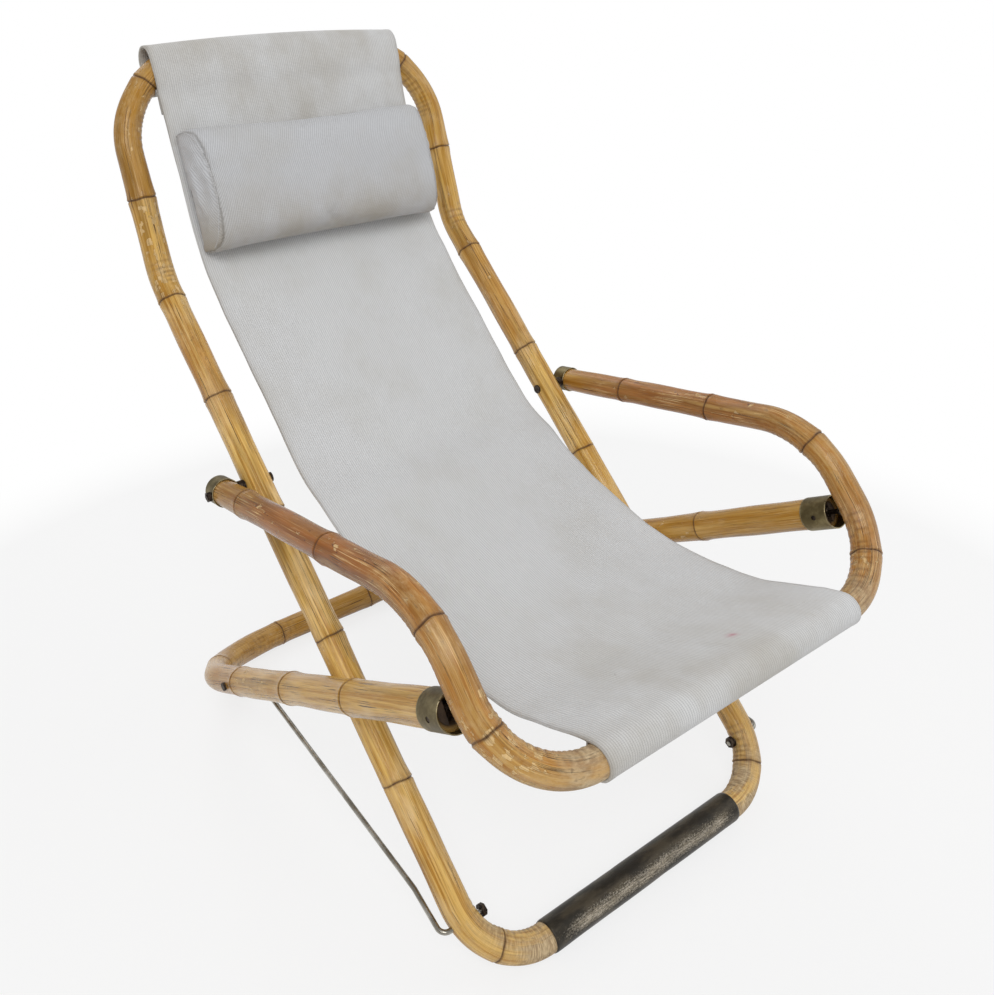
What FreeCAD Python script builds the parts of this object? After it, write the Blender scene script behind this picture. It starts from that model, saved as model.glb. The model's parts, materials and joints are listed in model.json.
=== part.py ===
import FreeCAD, Part
import math
import os

import Sketcher

# Bamboo folding recliner with a canvas sling and a head pillow.
# Millimetres and degrees. Z is up, -Y is the front of the chair, +X and -X are its two sides.
# The origin lies on the floor, in the middle of the chair's outline.

Vector = FreeCAD.Vector
Rotation = FreeCAD.Rotation
Placement = FreeCAD.Placement
X_AXIS = Vector(1, 0, 0)

# Driving dimensions.
SIZES = {
    # Back frame: one loop of pole, from the floor bar up the two rails to the top bar.
    "rail_diameter": 34,
    "rail_wall": 6,
    "rail_half_width": 233,
    "rail_lean": 43.4,
    "rail_length": 895,
    "rail_bend": 28.4,
    "rail_bend_radius": 90,
    "head_length": 265,
    "top_corner_radius": 112,
    "bottom_corner_radius": 80,
    "dowel_length": 120,
    "sleeve_length": 304,
    "sleeve_wall": 1.5,
    # Arm frame: two arms that drop to the front bar.
    "arm_diameter": 32,
    "arm_wall": 6,
    "arm_side_gap": 10,
    "arm_pivot_place": 597,
    "arm_rise": 8.9,
    "arm_length": 404,
    "arm_drop": 48.8,
    "drop_length": 189,
    "arm_bend_radius": 118,
    "front_corner_radius": 95,
    "arm_tail": 14,
    "cap_wall": 1.2,
    "cap_skirt": 20,
    "cap_dome": 8,
    # Base frame: two legs that run back to the rear bar on the floor.
    "base_diameter": 37,
    "base_wall": 6.5,
    "base_slope": 29.1,
    "rear_corner_radius": 190,
    "hinge_place": 104.2,
    "hinge_reach": 44,
    "pole_lead": 6,
    "ferrule_length": 35,
    "ferrule_lead": 17,
    "ferrule_wall": 1.2,
    "plug_length": 24,
    "plug_slot_depth": 17,
    # Tie rods between the base frame and the back rails.
    "rod_diameter": 6,
    "rod_rail_gap": 0.5,
    "rod_leg_gap": 1.6,
    "rod_base_place": 238,
    "rod_rail_place": 60,
    "rod_bend_radius": 9,
    "rod_joggle_place": 60,
    "rod_joggle_radius": 40,
    "rod_eye_diameter": 14,
    "rod_eye_thickness": 5,
    "rod_thread": 5.4,
    # Fasteners.
    "pivot_bolt_diameter": 7,
    "pivot_head_diameter": 12,
    "pivot_head_height": 2.2,
    "pivot_nut_width": 11,
    "pivot_nut_height": 4,
    "spacer_diameter": 15,
    "eye_diameter": 16,
    "eye_thickness": 7,
    "eye_shank_diameter": 6,
    "eye_collar_diameter": 10,
    "eye_collar_height": 3,
    "hinge_pin_diameter": 6,
    "hinge_pin_recess": 0.7,
    "rod_bolt_diameter": 5,
    "rod_bolt_head_diameter": 11,
    "rod_bolt_head_height": 3,
    "washer_diameter": 14,
    "washer_thickness": 1.5,
    "small_nut_width": 12,
    "small_nut_height": 4,
    "thread_end": 1,
    # Cloth and pillow.
    "cloth_thickness": 2,
    "cloth_gap": 0.8,
    "sling_half_width": 184,
    "sling_rail_offset": 14.3,
    "fold_gap_above": 12,
    "fold_gap_below": 30,
    "front_slope": 15,
    "seat_sag": 60,
    "pillow_width": 360,
    "pillow_height": 158,
    "pillow_depth": 58,
    "pillow_place": 89,
    "pillow_tilt": 1.1,
    "pillow_round": 38,
    "pillow_end_round": 14,
    "pillow_gap": 0.6,
    # Clearances.
    "slide_gap": 0.1,
    "pin_gap": 0.08,
    "seat_gap": 0.1,
    "turn_gap": 0.35,
}

os.makedirs("parts", exist_ok=True)
doc = FreeCAD.newDocument("bamboo_folding_recliner")
sheet = doc.addObject("Spreadsheet::Sheet", "sizes")
for row, (alias, amount) in enumerate(SIZES.items(), start=1):
    sheet.set("A%d" % row, alias.replace("_", " "))
    sheet.set("B%d" % row, str(amount))
    sheet.setAlias("B%d" % row, alias)
doc.recompute()

# Expressions that several pieces share.
RAIL_RADIUS = "sizes.rail_diameter / 2"
ARM_RADIUS = "sizes.arm_diameter / 2"
BASE_RADIUS = "sizes.base_diameter / 2"
ROD_RADIUS = "sizes.rod_diameter / 2"
RAIL_BORE = "(sizes.rail_diameter / 2 - sizes.rail_wall)"
BASE_BORE = "(sizes.base_diameter / 2 - sizes.base_wall)"
SLEEVE_BORE = "(sizes.rail_diameter / 2 + sizes.slide_gap)"
SLEEVE_RADIUS = "(%s + sizes.sleeve_wall)" % SLEEVE_BORE
CAP_BORE = "(sizes.arm_diameter / 2 + sizes.slide_gap)"
CAP_RADIUS = "(%s + sizes.cap_wall)" % CAP_BORE
FERRULE_BORE = "(sizes.base_diameter / 2 + sizes.slide_gap)"
FERRULE_RADIUS = "(%s + sizes.ferrule_wall)" % FERRULE_BORE
RAIL_FACE = "(sizes.rail_half_width + sizes.rail_diameter / 2)"
ARM_HALF_WIDTH = "(%s + sizes.arm_side_gap + sizes.arm_diameter / 2)" % RAIL_FACE
ROD_SIDE = "(%s + sizes.rod_rail_gap + sizes.rod_diameter / 2)" % RAIL_FACE
BASE_FACE = "(%s + sizes.rod_diameter / 2 + sizes.rod_leg_gap)" % ROD_SIDE
BASE_HALF_WIDTH = "(%s + sizes.base_diameter / 2)" % BASE_FACE


def number(expression):
    """The value of an expression over the sheet."""
    value = sheet.evalExpression(expression)
    return float(getattr(value, "Value", value))


def size(alias):
    """The value of one driving dimension."""
    return number("sizes." + alias)


def side_direction(degrees):
    """A direction in the side plane, from +Y towards +Z."""
    angle = math.radians(degrees)
    return Vector(0, math.cos(angle), math.sin(angle))


def at_side(point, x):
    """A point of the side plane, moved out to x."""
    return Vector(x, point.y, point.z)


def along(point, direction):
    """A placement whose Z axis points along a direction."""
    return Placement(point, Rotation(Vector(0, 0, 1), direction))


# Places in the side plane, worked out from the driving dimensions.
rail_radius = number(RAIL_RADIUS)
arm_radius = number(ARM_RADIUS)
base_radius = number(BASE_RADIUS)
rod_radius = number(ROD_RADIUS)
cloth_ring = size("cloth_gap") + size("cloth_thickness")

rail_way = side_direction(size("rail_lean"))
head_way = side_direction(size("rail_lean") + size("rail_bend"))
arm_way = side_direction(180 - size("arm_rise"))
drop_way = side_direction(180 + size("arm_drop"))
base_way = side_direction(-size("base_slope"))

floor_bar = Vector(0, 0, number(SLEEVE_RADIUS))
rail_bend = floor_bar + rail_way * size("rail_length")
top_bar = rail_bend + head_way * size("head_length")
arm_pivot = floor_bar + rail_way * size("arm_pivot_place")
arm_bend = arm_pivot + arm_way * size("arm_length")
front_bar = arm_bend + drop_way * size("drop_length")
eye_hole = arm_bend + drop_way * size("hinge_place")
base_length = (eye_hole.z - base_radius) / math.sin(math.radians(size("base_slope")))
rear_bar = eye_hole + base_way * base_length

# Everything moves along Y so that the origin is in the middle of the outline.
front_end = front_bar.y - arm_radius - cloth_ring
rear_end = max(top_bar.y + rail_radius + cloth_ring, rear_bar.y + base_radius)
centre_shift = Vector(0, -(front_end + rear_end) / 2, 0)
floor_bar += centre_shift
rail_bend += centre_shift
top_bar += centre_shift
arm_pivot += centre_shift
arm_bend += centre_shift
front_bar += centre_shift
eye_hole += centre_shift
rear_bar += centre_shift

hinge_pin = eye_hole + base_way * size("hinge_reach")
rod_top = rear_bar - base_way * size("rod_base_place")
rod_foot = floor_bar + rail_way * size("rod_rail_place")

nodes = {}


def keep(name, feature):
    """Name a finished piece; its name is also its file's name."""
    feature.Label = name
    nodes[name] = feature
    return feature


def feature(name, shape):
    """A document object that holds a shape made with Part's own functions."""
    holder = doc.addObject("Part::Feature", name)
    holder.Shape = shape
    return holder


def mirrored(name, source):
    """The same piece on the other side of the chair."""
    twin = doc.addObject("Part::Mirroring", name)
    twin.Source = source
    twin.Normal = X_AXIS
    twin.Base = Vector(0, 0, 0)
    return twin


def both_sides(name, *sources):
    """One node that holds each piece and its twin as separate solids."""
    group = doc.addObject("Part::Compound", name + "_group")
    twins = [mirrored("%s_twin_%d" % (name, count), source) for count, source in enumerate(sources)]
    group.Links = list(sources) + twins
    return keep(name, group)


def cylinder(name, radius, height, placement):
    """A cylinder whose sizes follow the sheet."""
    solid = doc.addObject("Part::Cylinder", name)
    solid.setExpression("Radius", radius)
    if isinstance(height, float):
        solid.Height = height
    else:
        solid.setExpression("Height", height)
    solid.Placement = placement
    return solid


def hexagon(name, width, height, placement):
    """A hexagonal block, given across its flats."""
    solid = doc.addObject("Part::Prism", name)
    solid.Polygon = 6
    solid.setExpression("Circumradius", "%s / 2 / cos(30 deg)" % width)
    solid.setExpression("Height", height)
    solid.Placement = placement
    return solid


def cut(name, base, *tools):
    """One piece with others cut out of it."""
    for count, tool in enumerate(tools):
        result = doc.addObject("Part::Cut", "%s_cut_%d" % (name, count))
        result.Base = base
        result.Tool = tool
        base = result
    return base


def fused(name, *pieces):
    """Several forms joined into one piece."""
    result = doc.addObject("Part::MultiFuse", name + "_fused")
    result.Shapes = list(pieces)
    return result


def new_sketch(body, name, role):
    """A sketch on one of the body's own origin planes."""
    plane = [item for item in body.Origin.OriginFeatures if item.Role == role][0]
    sketch = body.newObject("Sketcher::SketchObject", name)
    sketch.AttachmentSupport = (plane, [""])
    sketch.MapMode = "FlatFace"
    return sketch


def bind(sketch, constraint, expression):
    """Add a constraint whose value follows the sheet."""
    index = sketch.addConstraint(constraint)
    name = "value_%d" % index
    sketch.renameConstraint(index, name)
    sketch.setExpression("Constraints." + name, expression)


def circles(sketch, radii):
    """Circles about the sketch's origin."""
    for radius in radii:
        circle = Part.Circle(Vector(0, 0, 0), Vector(0, 0, 1), number(radius))
        index = sketch.addGeometry(circle)
        sketch.addConstraint(Sketcher.Constraint("Coincident", index, 3, -1, 1))
        bind(sketch, Sketcher.Constraint("Radius", index, number(radius)), radius)


def fix_end(sketch, index, end, x, y):
    """Hold one end of a line or an arc at a place that follows the sheet."""
    bind(sketch, Sketcher.Constraint("DistanceX", -1, 1, index, end, number(x)), x)
    bind(sketch, Sketcher.Constraint("DistanceY", -1, 1, index, end, number(y)), y)


def bent_path(sketch, corners, radii):
    """An open path of lines, rounded at its inner corners by arcs, for right-angled corners."""
    places = [Vector(number(x), number(y), 0) for x, y in corners]
    ends = []
    for count, (x, y) in enumerate(corners):
        if count in (0, len(corners) - 1):
            ends.append([(x, y)])
            continue
        radius = radii[count - 1]
        trims = []
        for other in (count - 1, count + 1):
            step = places[other] - places[count]
            step.normalize()
            trims.append(("%s + (%g) * %s" % (x, round(step.x, 9), radius),
                          "%s + (%g) * %s" % (y, round(step.y, 9), radius)))
        ends.append(trims)
    for count in range(len(corners) - 1):
        start = ends[count][-1]
        stop = ends[count + 1][0]
        line = Part.LineSegment(Vector(number(start[0]), number(start[1]), 0),
                                Vector(number(stop[0]), number(stop[1]), 0))
        index = sketch.addGeometry(line)
        fix_end(sketch, index, 1, *start)
        fix_end(sketch, index, 2, *stop)
        if count + 2 < len(corners):
            corner = places[count + 1]
            first = Vector(number(stop[0]), number(stop[1]), 0)
            last_place = ends[count + 1][1]
            last = Vector(number(last_place[0]), number(last_place[1]), 0)
            centre = first + last - corner
            middle = centre + (corner - centre).normalize() * (first - centre).Length
            arc = sketch.addGeometry(Part.Arc(first, middle, last))
            radius = radii[count]
            bind(sketch, Sketcher.Constraint("Radius", arc, number(radius)), radius)
            arc_ends = (1, 2)
            if (sketch.getPoint(arc, 1) - first).Length > (sketch.getPoint(arc, 2) - first).Length:
                arc_ends = (2, 1)
            fix_end(sketch, arc, arc_ends[0], *stop)
            fix_end(sketch, arc, arc_ends[1], *last_place)


def ring(name, radius, bore, length, placement):
    """A turned ring, or a disc where bore is None, padded along its own Z axis."""
    body = doc.addObject("PartDesign::Body", name + "_body")
    section = new_sketch(body, name + "_section", "XY_Plane")
    circles(section, [radius] if bore is None else [radius, bore])
    pad = body.newObject("PartDesign::Pad", name + "_pad")
    pad.Profile = section
    pad.setExpression("Length", length)
    body.Placement = placement
    return body


def pipe_along(body, name, path, placement_x, placement_y, radii):
    """A solid or hollow round bar along a path that starts in the body's Y direction."""
    section = new_sketch(body, name + "_section", "XZ_Plane")
    for radius in radii:
        circle = Part.Circle(Vector(number(placement_x), 0, 0), Vector(0, 0, 1), number(radius))
        index = section.addGeometry(circle)
        bind(section, Sketcher.Constraint("Radius", index, number(radius)), radius)
        bind(section, Sketcher.Constraint("DistanceX", -1, 1, index, 3, number(placement_x)), placement_x)
        section.addConstraint(Sketcher.Constraint("DistanceY", -1, 1, index, 3, 0))
    section.AttachmentOffset = Placement(Vector(0, 0, -number(placement_y)), Rotation())
    section.setExpression("AttachmentOffset.Base.z", "-(%s)" % placement_y)
    pipe = body.newObject("PartDesign::AdditivePipe", name + "_pipe")
    pipe.Profile = section
    pipe.Spine = path
    return pipe


def rounded_wire(points, radii):
    """A wire of straight runs in space, with an arc at each inner corner."""
    edges = []
    start = points[0]
    for corner, radius, after in zip(points[1:-1], radii, points[2:]):
        back = (start - corner).normalize()
        ahead = (after - corner).normalize()
        half_turn = back.getAngle(ahead) / 2
        trim = radius / math.tan(half_turn)
        middle_way = (back + ahead).normalize()
        first = corner + back * trim
        last = corner + ahead * trim
        middle = corner + middle_way * (radius / math.sin(half_turn) - radius)
        edges.append(Part.LineSegment(start, first).toShape())
        edges.append(Part.Arc(first, middle, last).toShape())
        start = last
    edges.append(Part.LineSegment(start, points[-1]).toShape())
    return Part.Wire(edges)


def bent_tube(points, radii, outer, bore):
    """A hollow pole along a bent path."""
    path = rounded_wire(points, radii)
    start_way = points[1] - points[0]
    solids = []
    for radius in (outer, bore):
        circle = Part.Wire(Part.makeCircle(radius, points[0], start_way))
        solids.append(path.makePipe(Part.Face(circle)))
    return solids[0].cut(solids[1]).Solids[0]


def drilled(shape, *holes):
    """A shape with round holes; each hole is (centre, direction, radius, reach to each side)."""
    for centre, way, radius, reach in holes:
        way = Vector(way).normalize()
        drill = Part.makeCylinder(radius, 2 * reach, centre - way * reach, way)
        shape = shape.cut(drill)
    return shape.Solids[0]


def add_back_frame():
    """The two halves of the back loop, their dowels and the metal floor sleeve."""
    half_width = size("rail_half_width")
    corners = [floor_bar, at_side(floor_bar, -half_width), at_side(rail_bend, -half_width),
               at_side(top_bar, -half_width), top_bar]
    bends = [size("bottom_corner_radius"), size("rail_bend_radius"), size("top_corner_radius")]
    pole = bent_tube(corners, bends, rail_radius, number(RAIL_BORE))
    bolt_hole = size("pivot_bolt_diameter") / 2 + size("slide_gap")
    rod_hole = rod_radius + size("pin_gap")
    reach = size("rail_diameter")
    pole = drilled(pole,
                   (at_side(arm_pivot, -half_width), X_AXIS, bolt_hole, reach),
                   (at_side(rod_foot, -half_width), X_AXIS, rod_hole, reach))
    left = keep("back_frame_left", feature("back_frame_left", pole))
    keep("back_frame_right", mirrored("back_frame_right", left))
    dowel_radius = "%s - sizes.seat_gap" % RAIL_BORE
    dowel_start = Vector(-size("dowel_length") / 2, 0, 0)
    for name, bar in (("floor_bar_dowel", floor_bar), ("top_bar_dowel", top_bar)):
        keep(name, ring(name, dowel_radius, None, "sizes.dowel_length", along(bar + dowel_start, X_AXIS)))
    sleeve_start = floor_bar - X_AXIS * size("sleeve_length") / 2
    keep("floor_sleeve", ring("floor_sleeve", SLEEVE_RADIUS, SLEEVE_BORE, "sizes.sleeve_length",
                              along(sleeve_start, X_AXIS)))


def add_arm_frame():
    """The bent pole of the two arms and the front bar."""
    half_width = number(ARM_HALF_WIDTH)
    tail = arm_pivot - arm_way * size("arm_tail")
    side = [tail, arm_bend, front_bar]
    points = [at_side(point, -half_width) for point in side]
    points += [at_side(point, half_width) for point in reversed(side)]
    bends = [size("arm_bend_radius"), size("front_corner_radius")]
    pole = bent_tube(points, bends + bends[::-1], arm_radius, arm_radius - size("arm_wall"))
    bolt_hole = size("pivot_bolt_diameter") / 2 + size("pin_gap")
    shank_hole = size("eye_shank_diameter") / 2 + size("slide_gap")
    reach = size("arm_diameter")
    holes = []
    for sign in (-1, 1):
        holes.append((at_side(arm_pivot, sign * half_width), X_AXIS, bolt_hole, reach))
        into_arm = at_side(eye_hole, sign * number(BASE_HALF_WIDTH)) + base_way * reach
        holes.append((into_arm, base_way, shank_hole, reach))
    keep("arm_frame", feature("arm_frame", drilled(pole, *holes)))


def dome_radius(radius, height):
    """The sphere radius of a dome, from the radius of its foot and its height."""
    return "(({r}) ^ 2 + ({h}) ^ 2) / (2 * ({h}))".format(r=radius, h=height)


def add_arm_caps():
    """The domed metal caps on the rear ends of the arms, drilled for the pivot bolts."""
    body = doc.addObject("PartDesign::Body", "arm_cap_body")
    profile = new_sketch(body, "arm_cap_profile", "XZ_Plane")
    shoulder = "(-sizes.arm_tail)"
    rim = "(%s + sizes.cap_skirt)" % shoulder
    tip = "(%s - sizes.cap_dome)" % shoulder
    inner_tip = "(%s + sizes.cap_wall)" % tip
    outer_dome = dome_radius(CAP_RADIUS, "sizes.cap_dome")
    inner_dome = dome_radius(CAP_BORE, "sizes.cap_dome - sizes.cap_wall")
    corners = [(CAP_BORE, rim), (CAP_RADIUS, rim), (CAP_RADIUS, shoulder), ("0", tip),
               ("0", inner_tip), (CAP_BORE, shoulder)]
    domes = {2: outer_dome, 4: inner_dome}
    for count, start in enumerate(corners):
        stop = corners[(count + 1) % len(corners)]
        first = Vector(number(start[0]), number(start[1]), 0)
        last = Vector(number(stop[0]), number(stop[1]), 0)
        if count not in domes:
            index = profile.addGeometry(Part.LineSegment(first, last))
            ends = (1, 2)
        else:
            radius = number(domes[count])
            centre = Vector(0, min(first.y, last.y) + radius, 0)
            middle = centre + ((first + last) / 2 - centre).normalize() * radius
            index = profile.addGeometry(Part.Arc(first, middle, last))
            bind(profile, Sketcher.Constraint("Radius", index, radius), domes[count])
            near = (profile.getPoint(index, 1) - first).Length < (profile.getPoint(index, 2) - first).Length
            ends = (1, 2) if near else (2, 1)
        fix_end(profile, index, ends[0], *start)
        fix_end(profile, index, ends[1], *stop)
    turned = body.newObject("PartDesign::Revolution", "arm_cap_turned")
    turned.Profile = profile
    turned.ReferenceAxis = (profile, ["V_Axis"])
    turned.Angle = 360
    place = at_side(arm_pivot, -number(ARM_HALF_WIDTH))
    body.Placement = Placement(place, Rotation(X_AXIS, 90 - size("arm_rise")))
    drill_start = place - X_AXIS * number(CAP_RADIUS) * 2
    drill = cylinder("arm_cap_drill", "sizes.pivot_bolt_diameter / 2 + sizes.pin_gap", "4 * %s" % CAP_RADIUS,
                     along(drill_start, X_AXIS))
    left = keep("arm_cap_left", cut("arm_cap", body, drill))
    keep("arm_cap_right", mirrored("arm_cap_right", left))


def add_arm_pivots():
    """A bolt, spacer and nut on each side, through the back rail and the end of the arm."""
    rail_inside = size("rail_half_width") - rail_radius - size("seat_gap")
    cap_outside = number(ARM_HALF_WIDTH) + number(CAP_RADIUS) + size("turn_gap")
    outward = -X_AXIS
    head_start = at_side(arm_pivot, -rail_inside + size("pivot_head_height"))
    shaft_start = at_side(arm_pivot, -rail_inside)
    nut_start = at_side(arm_pivot, -cap_outside)
    shaft_length = ("%s + %s - sizes.rail_half_width + %s + sizes.seat_gap + sizes.turn_gap"
                    " + sizes.pivot_nut_height + sizes.thread_end"
                    % (ARM_HALF_WIDTH, CAP_RADIUS, RAIL_RADIUS))
    head = cylinder("pivot_head", "sizes.pivot_head_diameter / 2", "sizes.pivot_head_height",
                    along(head_start, outward))
    shaft = cylinder("pivot_shaft", "sizes.pivot_bolt_diameter / 2", shaft_length,
                     along(shaft_start, outward))
    both_sides("arm_pivot_bolts", fused("pivot_bolt", head, shaft))
    block = hexagon("pivot_nut", "sizes.pivot_nut_width", "sizes.pivot_nut_height", along(nut_start, outward))
    thread = cylinder("pivot_thread", "sizes.pivot_bolt_diameter / 2 + sizes.seat_gap / 2",
                      "sizes.pivot_nut_height", along(nut_start, outward))
    both_sides("arm_pivot_nuts", cut("pivot_nut_bored", block, thread))
    spacer_start = at_side(arm_pivot, -number(RAIL_FACE) - size("seat_gap"))
    spacer_length = "%s - %s - %s - sizes.seat_gap - sizes.turn_gap" % (ARM_HALF_WIDTH, CAP_RADIUS, RAIL_FACE)
    both_sides("arm_spacers", ring("arm_spacer", "sizes.spacer_diameter / 2",
                                   "sizes.pivot_bolt_diameter / 2 + sizes.seat_gap", spacer_length,
                                   along(spacer_start, outward)))


def hinge_frame(distance=0.0):
    """The place of a piece on the left hinge: Z runs from the pin up towards the arm."""
    place = at_side(hinge_pin, -number(BASE_HALF_WIDTH)) - base_way * distance
    return Placement(place, Rotation(X_AXIS, 90 - size("base_slope")))


def collar_seat():
    """How far from the arm's centre the collar of the slanted eye bolt clears the arm."""
    slant = drop_way.getAngle(base_way)
    return (arm_radius + size("eye_collar_diameter") / 2 * abs(math.cos(slant))) / math.sin(slant)


def add_eye_bolts():
    """The eye bolts, screwed into the arms up to their collars."""
    collar_top = size("hinge_reach") - collar_seat() - size("seat_gap")
    shank_length = size("hinge_reach") - size("thread_end") - size("eye_diameter") / 4
    shank = cylinder("eye_shank", "sizes.eye_shank_diameter / 2", shank_length,
                     hinge_frame(size("eye_diameter") / 4))
    collar = cylinder("eye_collar", "sizes.eye_collar_diameter / 2", "sizes.eye_collar_height",
                      hinge_frame(collar_top - size("eye_collar_height")))
    eye_start = at_side(hinge_pin, -number(BASE_HALF_WIDTH) - size("eye_thickness") / 2)
    eye = cylinder("eye_disc", "sizes.eye_diameter / 2", "sizes.eye_thickness", along(eye_start, X_AXIS))
    hole_start = eye_start - X_AXIS * size("eye_thickness")
    hole = cylinder("eye_hole", "sizes.hinge_pin_diameter / 2 + sizes.pin_gap", "3 * sizes.eye_thickness",
                    along(hole_start, X_AXIS))
    both_sides("eye_bolts", cut("eye_bolt", fused("eye_bolt", shank, collar, eye), hole))


def add_base_frame():
    """The flat U of the two legs and the rear bar, drilled for its pins."""
    body = doc.addObject("PartDesign::Body", "base_body")
    reach = base_length - size("hinge_reach")
    path = new_sketch(body, "base_path", "XY_Plane")
    lead = "(-sizes.pole_lead)"
    corners = [("-" + BASE_HALF_WIDTH, lead), ("-" + BASE_HALF_WIDTH, "%.9f" % reach),
               (BASE_HALF_WIDTH, "%.9f" % reach), (BASE_HALF_WIDTH, lead)]
    bent_path(path, corners, ["sizes.rear_corner_radius"] * 2)
    pipe_along(body, "base", path, "-" + BASE_HALF_WIDTH, lead, [BASE_RADIUS, BASE_BORE])
    body.Placement = Placement(hinge_pin, Rotation(X_AXIS, -size("base_slope")))
    half_width = number(BASE_HALF_WIDTH)
    drill_length = "4 * sizes.base_diameter"
    drills = []
    for sign in (-1, 1):
        for name, place, radius in (
                ("pin", hinge_pin, "sizes.hinge_pin_diameter / 2 + sizes.seat_gap / 2"),
                ("bolt", rod_top, "sizes.rod_bolt_diameter / 2 + sizes.seat_gap / 2")):
            start = at_side(place, sign * half_width - 2 * size("base_diameter"))
            drills.append(cylinder("base_%s_drill_%d" % (name, sign + 1), radius, drill_length,
                                   along(start, X_AXIS)))
    keep("base_frame", cut("base_frame", body, *drills))


def add_hinges():
    """The ferrules, slotted plugs and pins at the front ends of the base frame."""
    pin_start = at_side(hinge_pin, -number(BASE_HALF_WIDTH) - number(FERRULE_RADIUS)
                        + size("hinge_pin_recess"))
    drill_start = pin_start - X_AXIS * size("base_diameter")
    pin_hole = "sizes.hinge_pin_diameter / 2 + sizes.seat_gap / 2"

    def drill(name):
        return cylinder(name, pin_hole, "4 * sizes.base_diameter", along(drill_start, X_AXIS))

    tube = ring("ferrule", FERRULE_RADIUS, FERRULE_BORE, "sizes.ferrule_length",
                hinge_frame(size("ferrule_lead") - size("ferrule_length")))
    left = keep("ferrule_left", cut("ferrule", tube, drill("ferrule_drill")))
    keep("ferrule_right", mirrored("ferrule_right", left))
    plug = ring("plug", "%s - sizes.seat_gap" % BASE_BORE, None, "sizes.plug_length",
                hinge_frame(size("pole_lead") - size("plug_length")))
    slot = doc.addObject("Part::Box", "plug_slot")
    slot.setExpression("Length", "sizes.eye_thickness + 2 * sizes.turn_gap")
    slot.setExpression("Width", "2 * sizes.base_diameter")
    slot.setExpression("Height", "sizes.plug_slot_depth + sizes.plug_length")
    frame = hinge_frame(size("pole_lead") - size("plug_slot_depth"))
    corner = Vector(-size("eye_thickness") / 2 - size("turn_gap"), -size("base_diameter"), 0)
    slot.Placement = Placement(frame.multVec(corner), frame.Rotation)
    both_sides("hinge_plugs", cut("plug", plug, slot, drill("plug_drill")))
    pin_length = "2 * (%s - sizes.hinge_pin_recess)" % FERRULE_RADIUS
    both_sides("hinge_pins", cylinder("hinge_pin", "sizes.hinge_pin_diameter / 2", pin_length,
                                      along(pin_start, X_AXIS)))


def add_rod_bolts():
    """The bolts through the legs that carry the upper ends of the tie rods."""
    inner = at_side(rod_top, -number(BASE_FACE))
    outward = -X_AXIS
    shaft = cylinder("rod_bolt_shaft", "sizes.rod_bolt_diameter / 2", "sizes.base_diameter + sizes.seat_gap",
                     along(inner, outward))
    head_start = inner + outward * (size("base_diameter") + size("seat_gap"))
    head = cylinder("rod_bolt_head", "sizes.rod_bolt_head_diameter / 2", "sizes.rod_bolt_head_height",
                    along(head_start, outward))
    both_sides("tie_rod_bolts", fused("rod_bolt", shaft, head))


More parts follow.
